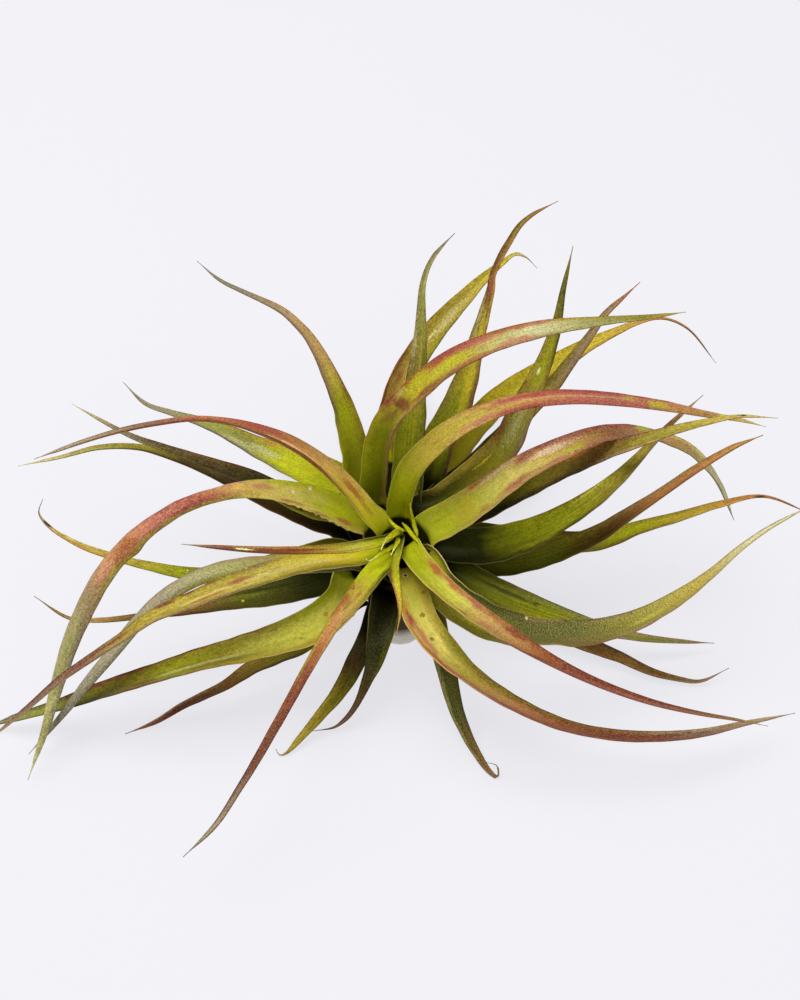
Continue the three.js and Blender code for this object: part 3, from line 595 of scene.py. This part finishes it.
def place(u, v, z):
    """The point at height z that shows at pixel (u, v), and the size of a pixel there."""
    ray = (AHEAD + ACROSS * (u - CENTRE_PIXEL[0]) / FOCAL_PIXELS
           - UP * (v - CENTRE_PIXEL[1]) / FOCAL_PIXELS)
    reach = (z - EYE[2]) / ray[2]
    return EYE + ray * reach, reach / FOCAL_PIXELS


def pixels(points):
    """Where points show in the photograph's frame."""
    rays = points - EYE
    depth = rays @ AHEAD
    return np.stack([CENTRE_PIXEL[0] + FOCAL_PIXELS * (rays @ ACROSS) / depth,
                     CENTRE_PIXEL[1] - FOCAL_PIXELS * (rays @ UP) / depth], axis=-1)


def stem_radius(height):
    """Radius of the stem at a height."""
    radii, heights = zip(*STEM_PROFILE)
    return float(np.interp(height, heights, radii))


def unit(vectors):
    """Vectors of length one."""
    return vectors / np.maximum(1e-9, np.linalg.norm(vectors, axis=-1, keepdims=True))


def step(low, high, values):
    """Soft step from 0 at low to 1 at high."""
    t = np.clip((values - low) / (high - low), 0, 1)
    return t * t * (3 - 2 * t)


def smooth(values, width):
    """Running mean of a list of numbers, with its ends held."""
    padded = np.concatenate([np.full(width, values[0]), values, np.full(width, values[-1])])
    kernel = np.ones(2 * width + 1) / (2 * width + 1)
    return np.convolve(padded, kernel, mode="valid")


def spline(points):
    """Centripetal curve through points, sampled evenly between each two of them."""
    padded = np.vstack([2 * points[0] - points[1], points, 2 * points[-1] - points[-2]])
    t = (np.arange(SAMPLES_A_SPAN) / SAMPLES_A_SPAN)[:, None]
    spans = []
    for p0, p1, p2, p3 in zip(padded, padded[1:], padded[2:], padded[3:]):
        d0, d1, d2 = (max(1e-4, np.linalg.norm(b - a)) ** 0.5 for a, b in ((p0, p1), (p1, p2), (p2, p3)))
        m1 = d1 * ((p1 - p0) / d0 - (p2 - p0) / (d0 + d1) + (p2 - p1) / d1)
        m2 = d1 * ((p2 - p1) / d1 - (p3 - p1) / (d1 + d2) + (p3 - p2) / d2)
        spans.append((2 * t**3 - 3 * t**2 + 1) * p1 + (t**3 - 2 * t**2 + t) * m1
                     + (3 * t**2 - 2 * t**3) * p2 + (t**3 - t**2) * m2)
    spans.append(points[-1:])
    return np.vstack(spans)


def distances(points):
    """Distance along a line at each of its points."""
    return np.concatenate([[0], np.cumsum(np.linalg.norm(np.diff(points, axis=0), axis=1))])


def resampled(points, run, at):
    """Points of a line at given distances along it."""
    return np.column_stack([np.interp(at, run, points[:, k]) for k in range(3)])


def knots_of(trace):
    """Points of a traced line in space, and the half widths there."""
    placed = [place(u, v, height) for u, v, height, _ in trace]
    halves = [0.5 * width * pixel for (_, pixel), (_, _, _, width) in zip(placed, trace)]
    return np.array([point for point, _ in placed]), np.array(halves)


def leaf_line(root_height, trace):
    """Middle line of a leaf in rings: points, half widths, run past its visible base, and bearing."""
    knots, halves = knots_of(trace)
    bearing = unit(knots[0] * [1, 1, 0])
    root = bearing * max(LEAST_ROOT_RADIUS, stem_radius(root_height) - ROOT_SINK)
    root[2] = root_height
    points = spline(np.vstack([root, knots]))
    halves = np.concatenate([[halves[0]], halves])
    spans = np.arange(len(points)) / SAMPLES_A_SPAN
    half = smooth(np.interp(spans, np.arange(len(halves)), halves), SAMPLES_A_SPAN // 3)
    run = distances(points)
    rings = max(FEWEST_RINGS, round(run[-1] / RING_STEP))
    at = np.linspace(0, run[-1], rings + 1)
    return resampled(points, run, at), np.interp(at, run, half), at - run[SAMPLES_A_SPAN], bearing


def leaf_axes(line, bearing):
    """Directions at each ring of a leaf: ahead, to its left, and up out of its channel."""
    tangent = unit(np.gradient(line, axis=0))
    outward = unit(line * [1, 1, 0] + bearing * BEARING_WEIGHT)
    inward = FACE_INWARD * step(*STEEP_DOWN, tangent[:, 2:])
    facing = np.array([0, 0, FACE_UP]) - inward * outward
    normal = unit(facing - tangent * np.sum(facing * tangent, axis=1, keepdims=True))
    return tangent, np.cross(normal, tangent), normal


def profile(stops, along):
    """Smooth lists of values along a leaf, from rows of a share of its length and the values there."""
    table = np.array(stops, float)
    return [smooth(np.interp(along, table[:, 0], column), PROFILE_RINGS) for column in table[:, 1:].T]


def trail(slopes):
    """Sums along rows of slopes, from zero, where each step goes by the mean of its two ends."""
    sums = np.cumsum(0.5 * (slopes[:, 1:] + slopes[:, :-1]), axis=1)
    return np.pad(sums, [(0, 0), (1, 0)]) / SECTION_STEPS


def section(left, right, keel):
    """Curve of a leaf's cross section for a half width of one, and its upward normals.

    left and right are the angles to which the two halves bend up by their margins.
    """
    share = np.cos(np.linspace(0, math.pi, COLUMNS + 1))
    sign = np.sign(share)
    at = np.rint(np.abs(share) * SECTION_STEPS).astype(int)
    out_to_margin = np.linspace(0, 1, SECTION_STEPS + 1) ** keel
    bends = [angle[:, None] * out_to_margin for angle in (left, right)]
    halves = [(trail(np.cos(bend)), trail(np.sin(bend)), bend) for bend in bends]
    out, rise, bend = (np.where(sign >= 0, a[:, at], b[:, at]) for a, b in zip(*halves))
    curve = np.stack([sign * out, rise], axis=-1)
    normals = np.stack([-sign * np.sin(bend), np.cos(bend)], axis=-1)
    return share, curve, normals


def spread(curve, side, normal):
    """A cross section curve as vectors in space, for each ring by its own axes."""
    return curve[:, :, :1] * side[:, None, :] + curve[:, :, 1:] * normal[:, None, :]


def thinning(share):
    """Thickness of a leaf across it, where the middle has one."""
    return 1 - THINNING * np.abs(share) ** THINNING_POWER


def fit_to_view(line, tangent, shape, traced, run, sheath):
    """Half widths and centres with which a leaf shows as it was traced in the photograph's view."""
    across_view = unit(np.cross(unit(line - EYE), tangent))
    seen = np.sum(shape * across_view[:, None, :], axis=2)
    high, low = seen.max(axis=1), seen.min(axis=1)
    half = np.minimum(2 * traced / np.maximum(high - low, 1e-6), MOST_WIDENED * traced)
    half = np.minimum(half, SHEATH_HALF_WIDTH + SHEATH_SLOPE * np.hypot(line[:, 0], line[:, 1]))
    half = smooth(np.maximum(half, TIP_HALF_WIDTH), SMOOTH_RINGS)
    half *= np.clip((run[-1] - run) / TIP_LENGTH, TIP_SHARE, 1) ** TIP_POWER
    middle = smooth(0.5 * (high + low) * half, SMOOTH_RINGS)
    middle = np.clip(middle, -MOST_SHIFTED, MOST_SHIFTED) * (1 - sheath)
    return half, line - across_view * middle[:, None]


def nearest(line, side, run, u, v):
    """How far along a leaf the pixel (u, v) lies, and by which margin (1 left, -1 right)."""
    shown = pixels(line)
    ring = int(np.argmin(np.sum((shown - [u, v]) ** 2, axis=1)))
    leftward = pixels(line[ring] + side[ring]) - shown[ring]
    return run[ring], 1 if leftward @ ([u, v] - shown[ring]) > 0 else -1


def margin_forms(chosen, centre, side, measures, phase):
    """Half width and lift at each point of a leaf, with the forms of its margins."""
    share, along, run, half = measures
    margin = np.abs(share) ** MARGIN_POWER
    ripple = RIPPLE * half
    for beat in RIPPLE_BEATS:
        ripple = ripple * np.sin(run * beat + phase)
    width = half[:, None] * np.ones_like(share)
    for u, v, length, height in rows(chosen.get("bumps", "")):
        at_run, at_side = nearest(centre, side, run, u, v)
        there = np.exp(-(((run - at_run) / length) ** 2))[:, None] * (share * at_side > 0)
        width = width + height * there * margin
    for first, last, at_side, height, length in rows(chosen.get("waves", "")):
        there = step(first, first + WAVE_FADE, along) * step(last, last - WAVE_FADE, along)
        turn = run * FULL_TURN / length
        beat = np.sin(turn + phase) + WAVE_OVERTONE[0] * np.sin(turn * WAVE_OVERTONE[1])
        width = width + (height * there * beat)[:, None] * margin * (share * at_side > 0)
        ripple = ripple + WAVE_LIFT[0] * height * there * np.cos(turn * WAVE_LIFT[1])
    return width, ripple[:, None] * margin * np.sign(share)


def light_on(name, line, run, share):
    """Painted shade: how much light reaches each point of a leaf, which darkens its colour; the bases lie
    in the dark of the heart.
    """
    if slot_of(name) == "young_leaf":
        return np.ones((len(run), len(share)))
    crevice = CREVICE_RADIUS + CREVICE_SLOPE * np.maximum(0, HEART_HEIGHT - line[:, 2])
    open_air = step(*CREVICE_EDGE, np.hypot(line[:, 0], line[:, 1]) / crevice)
    past_throat = run[:, None] + THROAT_CURVE * share**2 - THROAT_RUN - LOOKS[name].get("deep", 0)
    lit = np.minimum(step(*THROAT_EDGE, past_throat), open_air[:, None])
    return np.maximum(lit, BACK_LEAF_LIGHT) if name.startswith("back_leaf") else lit


def leaf_mesh(name):
    """Mesh of a fine leaf, and its points with their flat places."""
    root_height, traced = TRACES[name]
    chosen = LOOKS[name]
    line, traced_half, run, bearing = leaf_line(root_height, rows(traced))
    along = np.clip(run / run[-1], 0, 1)
    tangent, side, normal = leaf_axes(line, bearing)
    rng = random.Random(name)

    sheath = step(*SHEATH_RUN, run)
    folds = profile(rows(chosen.get("fold", DEFAULT_FOLD)), along)
    tight = math.radians(SHEATH_ANGLE)
    left, right = (np.radians(angle) * (1 - sheath) + tight * sheath for angle in folds)
    share, curve, swell = section(left, right, chosen.get("keel", 1.0))
    shape = spread(curve, side, normal)
    upward = spread(swell, side, normal)
    half, centre = fit_to_view(line, tangent, shape, traced_half, run, sheath)

    measures = (share, along, run, half)
    width, lift = margin_forms(chosen, centre, side, measures, rng.uniform(0, FULL_TURN))
    blade = centre[:, None, :] + shape * width[:, :, None] + upward * lift[:, :, None]
    thick = np.interp(along, (0, 1), (BASE_THICKNESS, TIP_THICKNESS)) / 2
    thick = np.minimum(thick, LEAF_PLUMPNESS * half)
    skin = upward * (thick[:, None] * thinning(share))[:, :, None]
    lit = light_on(name, line, run, share)
    offset = rng.uniform(0, PATTERN_SPREAD)
    return closed_mesh(name, (blade + skin, blade, blade - skin), measures, lit, offset)


def sliver_mesh(name):
    """Mesh of a narrow strip that turns its face to the viewer."""
    knots, halves = knots_of(rows(SLIVERS[name]))
    points = spline(knots)
    run = distances(points)
    at = np.linspace(0, run[-1], SLIVER_RINGS + 1)
    line = resampled(points, run, at)
    half = smooth(np.interp(at, run[::SAMPLES_A_SPAN], halves), 2)
    tangent = unit(np.gradient(line, axis=0))
    side = unit(np.cross(unit(EYE - line), tangent))
    normal = np.cross(tangent, side)
    bend = np.full(len(at), math.radians(SLIVER_BEND))
    share, curve, swell = section(bend, bend, 1.0)
    blade = line[:, None, :] + spread(curve, side, normal) * half[:, None, None]
    thick = np.minimum(TIP_THICKNESS / 2, SLIVER_PLUMPNESS * half)
    skin = spread(swell, side, normal) * (thick[:, None] * thinning(share))[:, :, None]
    measures = (share, at / at[-1], at, half)
    lit = np.ones(blade.shape[:2])
    return closed_mesh(name, (blade + skin, blade, blade - skin), measures, lit, float(len(name)))


def closed_mesh(name, surfaces, measures, lit, offset):
    """Closed mesh between two surfaces that meet at the margins, with the values that its skin needs."""
    upper, blade, lower = surfaces
    share, along, run, half = measures
    upper[:, (0, -1)] = blade[:, (0, -1)]
    points = np.concatenate([upper, lower[:, -2:0:-1]], axis=1)
    points[:, :, 2] = np.maximum(points[:, :, 2], FLOOR_GAP)
    lit = np.concatenate([lit, lit[:, -2:0:-1]], axis=1)
    share = np.concatenate([share, share[-2:0:-1]])
    face = np.concatenate([[0], np.ones(COLUMNS - 1), [0], -np.ones(COLUMNS - 1)])

    rings, columns = points.shape[:2]
    index = np.arange(rings * columns).reshape(rings, columns)
    after = np.roll(index, -1, axis=1)
    faces = np.stack([index[:-1], after[:-1], after[1:], index[1:]], axis=-1).reshape(-1, 4)
    caps = [tuple(index[0][::-1]), tuple(index[-1])]
    mesh = bpy.data.meshes.new(name + "_fine")
    mesh.from_pydata((points.reshape(-1, 3) * MM).tolist(), [], faces.tolist() + caps)
    store(mesh, "along", np.repeat(along, columns))
    store(mesh, "side", np.tile(share, rings))
    store(mesh, "face", np.tile(face, rings))
    store(mesh, "lit", lit)
    flat = np.stack([half[:, None] * share, np.repeat(run[:, None], columns, axis=1),
                     np.full((rings, columns), offset)], axis=-1)
    store(mesh, "flat", flat, "FLOAT_VECTOR")
    mesh.shade_smooth()
    mesh.update()
    return mesh, points, flat


def store(mesh, name, values, kind="FLOAT"):
    """Keeps a number or a vector for each point of a mesh."""
    layer = mesh.attributes.new(name, kind, "POINT")
    field = "value" if kind == "FLOAT" else "vector"
    layer.data.foreach_set(field, values.reshape(-1).astype(np.float32))


def flat_place(points, flat, u, v):
    """The flat place of the point of a leaf that shows nearest to pixel (u, v)."""
    off = np.sum((pixels(points) - [u, v]) ** 2, axis=2)
    off[flat[:, :, 1] < 0] = np.inf
    return flat[np.unravel_index(int(np.argmin(off)), off.shape)]


class Nodes:
    """Short calls for the nodes of one material."""

    def __init__(self, name):
        self.material = bpy.data.materials.new(name)
        self.material.use_nodes = True
        self.tree = self.material.node_tree
        self.shader = self.tree.nodes["Principled BSDF"]

    def node(self, kind, inputs=(), **settings):
        """A node with its inputs, each a value or a socket, and its settings."""
        made = self.tree.nodes.new("ShaderNode" + kind)
        for key, value in settings.items():
            setattr(made, key, value)
        for key, value in dict(inputs).items():
            self.feed(made.inputs[key], value)
        return made

    def feed(self, socket, value):
        """Links a socket to another one, or sets its value."""
        if isinstance(value, bpy.types.NodeSocket):
            self.tree.links.new(value, socket)
        else:
            socket.default_value = value

    def math(self, operation, *values):
        made = self.node("Math", operation=operation)
        for socket, value in zip(made.inputs, values):
            self.feed(socket, value)
        return made.outputs[0]

    def times(self, a, b):
        return self.math("MULTIPLY", a, b)

    def attribute(self, name, output="Fac"):
        """A value that the points of the mesh keep."""
        return self.node("Attribute", attribute_name=name).outputs[output]

    def ramp(self, factor, *stops):
        """Grey values or colours by a factor, from stops of position and value."""
        made = self.node("ValToRGB", {"Fac": factor})
        band = made.color_ramp
        while len(band.elements) < len(stops):
            band.elements.new(0.5)
        for element, (position, value) in zip(band.elements, stops):
            element.position = position
            element.color = value if hasattr(value, "__len__") else (value, value, value, 1)
        return made.outputs[0]

    def mix(self, factor, a, b, blend="MIX"):
        """Colour a, with as much of b as the factor says."""
        made = self.node("Mix", data_type="RGBA", blend_type=blend)
        for socket, value in zip((made.inputs[0], made.inputs[6], made.inputs[7]), (factor, a, b)):
            self.feed(socket, value)
        return made.outputs[2]

    def tint(self, factor, body, shade):
        """A colour that is multiplied by a shade as far as the factor says."""
        return self.mix(factor, body, self.mix(1.0, body, shade, "MULTIPLY"))

    def noise(self, vector, scale, detail, roughness):
        """Noise with its own fineness along each axis of a place."""
        local = self.node("Mapping", {"Vector": vector, "Scale": scale}).outputs[0]
        made = self.node("TexNoise", {"Vector": local, "Scale": 1.0, "Detail": detail,
                                      "Roughness": roughness})
        return made.outputs["Fac"]

    def bump(self, height, strength, distance):
        """Relief of the surface by a height."""
        made = self.node("Bump", {"Height": height, "Strength": strength, "Distance": distance})
        self.feed(self.shader.inputs["Normal"], made.outputs[0])


class LeafNodes(Nodes):
    """Nodes of a leaf's skin, with the values kept on its points."""

    def __init__(self, name):
        super().__init__(name + "_skin")
        self.along = self.attribute("along")
        self.side = self.attribute("side")
        self.off_middle = self.math("ABSOLUTE", self.side)
        self.flat = self.attribute("flat", "Vector")

    def pattern(self, across, lengthwise, detail, roughness):
        """Noise with its own fineness across a leaf and along it."""
        return self.noise(self.flat, (across, lengthwise, 1), detail, roughness)

    def centred(self, *fineness):
        """A pattern about zero."""
        return self.math("SUBTRACT", self.pattern(*fineness), 0.5)

    def away(self, centre, length, width):
        """How far flat places lie from a centre, where 1 is the edge of an ellipse; sizes in pixels."""
        scale = (2 / (width * MM_PER_PIXEL), 2 / (length * MM_PER_PIXEL), 0)
        shift = (-centre[0] * scale[0], -centre[1] * scale[1], 0)
        local = self.node("Mapping", {"Vector": self.flat, "Scale": scale, "Location": shift}).outputs[0]
        return self.node("VectorMath", {0: local}, operation="LENGTH").outputs["Value"]


def strips(n, chosen, wander, wobble):
    """The middle of a leaf and its two margins, each with its own colours, which blend raggedly."""
    moved = n.math("MULTIPLY_ADD", n.math("SUBTRACT", wander, 0.5), 0.12, n.along)

    def strip(names):
        listed = names.split()
        return n.ramp(moved, *((i / (len(listed) - 1), colour(c)) for i, c in enumerate(listed)))

    body = strip(chosen["body"])
    for margin, sign in (("left", 1.0), ("right", -1.0)):
        reach = n.math("MULTIPLY_ADD", wobble, 0.9, n.times(n.side, sign))
        body = n.mix(n.ramp(reach, (0.42, 0.0), (0.8, 1.0)), body, strip(chosen[margin]))
    return body


def with_veins(n, body, wander, first, last, strength):
    """Dark lines along the middle of a leaf, between two shares of its length."""
    across = n.node("SeparateXYZ", {"Vector": n.flat}).outputs[0]
    phase = n.math("MULTIPLY_ADD", across, VEIN_PITCH, n.times(wander, 2.5))
    lines = n.ramp(n.math("MULTIPLY_ADD", n.math("SINE", phase), 0.5, 0.5), (0.3, 0.0), (0.85, 1.0))
    here = n.ramp(n.along, (max(0.0, first - 0.05), 0.0), (first + 0.05, strength),
                  (last - 0.05, strength), (min(1.0, last + 0.05), 0.0))
    inner = n.ramp(n.off_middle, (0.25, 1.0), (0.6, 0.0))
    return n.tint(n.times(n.times(lines, here), n.times(inner, 0.5)), body, VEIN_SHADE)


def with_crease(n, body, wobble, first, last, strength):
    """Painted highlight: a pale line along the fold of a leaf, between two shares of its length."""
    here = n.ramp(n.along, (first - 0.04, 0.0), (first + 0.04, strength),
                  (last - 0.04, strength), (last, 0.0))
    off_fold = n.math("ABSOLUTE", n.math("MULTIPLY_ADD", wobble, 0.2, n.side))
    return n.mix(n.times(n.ramp(off_fold, (0.03, 1.0), (0.16, 0.0)), here), body, colour("straw"))


def with_marks(n, body, chosen, points, flat):
    """Ragged patches and round spots of other colours, placed by pixel."""
    small = n.centred(2.6, 1.5, 3.0, 0.7)
    ragged = n.math("MULTIPLY_ADD", small, 2.2, n.times(n.centred(0.6, 0.28, 6.0, 0.75), 2.6))
    for name, u, v, length, width, strength in rows(chosen.get("marks", "")):
        off = n.away(flat_place(points, flat, u, v), length, width)
        inside = n.math("ADD", n.math("SUBTRACT", ragged, off), 1.3)
        body = n.mix(n.ramp(inside, (0.1, 0.0), (0.8, strength)), body, colour(name))
    for ring, middle, u, v, size in rows(chosen.get("spots", "")):
        off = n.math("MULTIPLY_ADD", small, 0.9, n.away(flat_place(points, flat, u, v), size, size))
        body = n.mix(n.ramp(off, (0.55, 0.85), (1.05, 0.0)), body, colour(ring))
        body = n.mix(n.ramp(off, (0.25, 1.0), (0.5, 0.0)), body, colour(middle))
    return body


def with_scales(n, body, scales, near, far):
    """Pale scales that lie thicker towards the tip, over a fine dark grain."""
    dark = n.ramp(n.pattern(2.2, 1.2, 3.0, 0.7), (0.48, 0.0), (0.6, 1.0))
    outer = n.times(n.ramp(n.off_middle, (0.2, 0.35), (0.8, 0.8)),
                    n.ramp(n.along, (0.05, 0.15), (0.4, 1.0)))
    body = n.tint(n.times(dark, outer), body, GRAIN_SHADE)
    thick = n.ramp(n.along, (0.0, near), (0.3, 0.5 * (near + far)), (1.0, far))
    grain = n.times(n.ramp(scales, (0.48, 0.0), (0.58, 1.0)), thick)
    return n.mix(n.times(grain, 0.7), body, colour("silver"))


def with_edges(n, body, wobble, rim):
    """A thin pale rim along both margins, partly the pale clear edge and partly painted light shining
    through it; brown further out.
    """
    clear = n.times(n.ramp(n.off_middle, (0.94, 0.0), (1.0, rim)),
                    n.ramp(n.along, (0.25, 1.0), (0.5, 0.0)))
    body = n.mix(clear, body, colour("straw"))
    reach = n.math("MULTIPLY_ADD", wobble, 0.15, n.off_middle)
    burnt = n.times(n.ramp(reach, (0.86, 0.0), (0.97, 0.75)), n.ramp(n.along, (0.12, 0.0), (0.4, 1.0)))
    return n.tint(burnt, body, BURNT_SHADE)


def leaf_material(name, points, flat):
    """Living leaf: colours along it and on its margins, fibres, marks, pale scales, thin edges and painted
    shade between the leaves.
    """
    chosen = LOOKS[name]
    n = LeafNodes(name)
    wander = n.pattern(0.25, 0.06, 3.0, 0.55)
    wobble = n.centred(0.7, 0.3, 5.0, 0.7)
    fibres = n.pattern(3.0, 0.05, 3.0, 0.6)
    mottle = n.pattern(0.6, 0.3, 5.0, 0.65)
    scales = n.pattern(3.0, 2.2, 2.0, 0.7)
    fine = n.pattern(2.6, 1.5, 2.0, 0.7)
    mature = n.ramp(n.along, (0.06, 0.3), (0.34, 1.0))

    body = strips(n, chosen, wander, wobble)
    body = n.tint(n.times(n.ramp(fibres, (0.45, 0.0), (0.62, 1.0)), 0.28), body, FIBRE_SHADE)
    body = n.tint(n.times(n.ramp(mottle, (0.45, 0.0), (0.65, 1.0)), 0.4), body, MOTTLE_LIGHT)
    body = n.tint(mature, body, n.ramp(n.pattern(1.1, 0.5, 4.0, 0.7), (0.35, 0.7), (0.5, 1.0)))
    if "veins" in chosen:
        body = with_veins(n, body, wander, *chosen["veins"])

    # Brown and red flecks, and the colour of the lower face
    flecks = n.ramp(n.pattern(0.9, 0.5, 5.0, 0.7), (0.64, 0.0), (0.72, 1.0))
    body = n.mix(n.times(flecks, 0.5), body, colour("rust"))
    under, strength = chosen.get("under", DEFAULT_UNDER)
    below = n.math("MULTIPLY_ADD", n.attribute("face"), -0.5, 0.5)
    body = n.mix(n.ramp(below, (0.5, 0.0), (0.7, strength)), body, colour(under))

    # Painted highlight: a pale line along the fold
    if "crease" in chosen:
        body = with_crease(n, body, wobble, *chosen["crease"])
    body = with_marks(n, body, chosen, points, flat)
    body = with_scales(n, body, scales, *chosen["silver"])

    # Fine unevenness of the skin, all over
    body = n.tint(mature, body, n.ramp(fine, (0.36, 0.74), (0.52, 1.0)))
    body = n.tint(n.times(n.ramp(fine, (0.5, 0.0), (0.66, 0.5)), mature), body, FINE_LIGHT)
    body = with_edges(n, body, wobble, chosen.get("rim", DEFAULT_RIM))

    # Painted shade, darker down between the leaves
    body = n.mix(1.0, body, n.ramp(n.attribute("lit"), (0.0, 0.02), (1.0, 1.0)), "MULTIPLY")

    n.feed(n.shader.inputs["Base Color"], body)
    n.feed(n.shader.inputs["Roughness"], n.math("MULTIPLY_ADD", mottle, 0.25, 0.3))
    n.shader.inputs["Specular IOR Level"].default_value = 0.12
    n.shader.inputs["Specular Tint"].default_value = SHINE_TINT
    n.bump(n.math("ADD", n.times(fibres, 0.6), n.times(scales, 0.4)), 0.25, 0.0002)
    return n.material


def stem_material():
    """Dry bark-like skin of the stem, paler at its foot."""
    n = Nodes("stem_skin")
    coordinates = n.node("TexCoord").outputs["Object"]
    grain = n.noise(coordinates, (500, 500, 2500), 5.0, 0.7)
    bark = n.ramp(grain, (0.3, colour("shade")), (0.55, colour("umber")), (0.75, colour("brown")))
    dry = n.ramp(grain, (0.3, linear(DRY_SKIN[0])), (0.7, linear(DRY_SKIN[1])))
    height = n.node("SeparateXYZ", {"Vector": coordinates}).outputs[2]
    body = n.mix(n.ramp(n.times(height, 100.0), (0.6, 1.0), (1.0, 0.0)), bark, dry)
    n.feed(n.shader.inputs["Base Color"], body)
    n.shader.inputs["Roughness"].default_value = 0.85
    n.bump(grain, 0.6, 0.0005)
    return n.material


def slot_of(name):
    """The material slot of a leaf."""
    if name.startswith("young"):
        return "young_leaf"
    return "lower_leaf" if name in LOWER_LEAVES else "leaf"


def show(name, data):
    """A new object of the scene."""
    made = bpy.data.objects.new(name, data)
    bpy.context.scene.collection.objects.link(made)
    return made


def build_leaf(name):
    """A fine leaf in the place of its plain solid."""
    mesh, points, flat = leaf_mesh(name)
    piece = show(name + "_blade", mesh)
    mesh.materials.append(leaf_material(name, points, flat))
    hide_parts(name)
    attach(piece, "root")


def build_sliver(name):
    """A narrow strip in the heart, which grows from the stem with the leaves."""
    mesh, points, flat = sliver_mesh(name)
    piece = show(name, mesh)
    mesh.materials.append(leaf_material(name, points, flat))
    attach(piece, "root")


def build_stem():
    """The stem keeps its solid and gets its skin."""
    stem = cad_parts["stem"]
    stem.data.materials.clear()
    stem.data.materials.append(stem_material())


def build_camera():
    """The photograph's viewpoint."""
    data = bpy.data.cameras.new("camera")
    data.sensor_width = SENSOR_MM
    data.lens = SENSOR_MM * FOCAL_PIXELS / LONG_SIDE_PIXELS
    data.clip_start = 0.01
    camera = show("camera", data)
    camera.location = Vector(EYE * MM)
    camera.rotation_euler = (math.pi / 2 - PITCH, 0, 0)
    bpy.context.scene.camera = camera


def build_floor():
    """Plain pale floor that glows a little."""
    mesh = bpy.data.meshes.new("floor")
    corners = [(-FLOOR_REACH, -FLOOR_REACH), (FLOOR_REACH, -FLOOR_REACH),
               (FLOOR_REACH, FLOOR_REACH), (-FLOOR_REACH, FLOOR_REACH)]
    mesh.from_pydata([(x, y, 0) for x, y in corners], [], [(0, 1, 2, 3)])
    floor = show("floor", mesh)
    paper = Nodes("paper")
    paper.shader.inputs["Base Color"].default_value = linear(FLOOR_COLOUR)
    paper.shader.inputs["Roughness"].default_value = 0.9
    paper.shader.inputs["Emission Color"].default_value = linear(FLOOR_GLOW)
    paper.shader.inputs["Emission Strength"].default_value = FLOOR_GLOW_STRENGTH
    mesh.materials.append(paper.material)


def build_light():
    """Soft studio light from all around, from above and from the front."""
    world = bpy.data.worlds.new("studio")
    world.use_nodes = True
    around = world.node_tree.nodes["Background"].inputs
    around[0].default_value = AROUND_COLOUR
    around[1].default_value = AROUND_STRENGTH
    bpy.context.scene.world = world
    soft_light("key", location=(-0.4, 0.15, 1.5), size=1.1, power=34)
    soft_light("fill", location=(0.4, -1.0, 1.1), size=0.9, power=8)


def soft_light(name, location, size, power):
    """A square area light that looks at the heart of the plant; lengths in metres."""
    data = bpy.data.lights.new(name, "AREA")
    data.size = size
    data.energy = power
    light = show(name, data)
    light.location = location
    aim = Vector((0, 0, HEART_HEIGHT * MM)) - Vector(location)
    light.rotation_euler = aim.to_track_quat("-Z", "Y").to_euler()


bpy.context.scene.view_settings.view_transform = "Standard"
build_camera()
build_floor()
build_light()
build_stem()
for leaf_name in TRACES:
    build_leaf(leaf_name)
for sliver_name in SLIVERS:
    build_sliver(sliver_name)
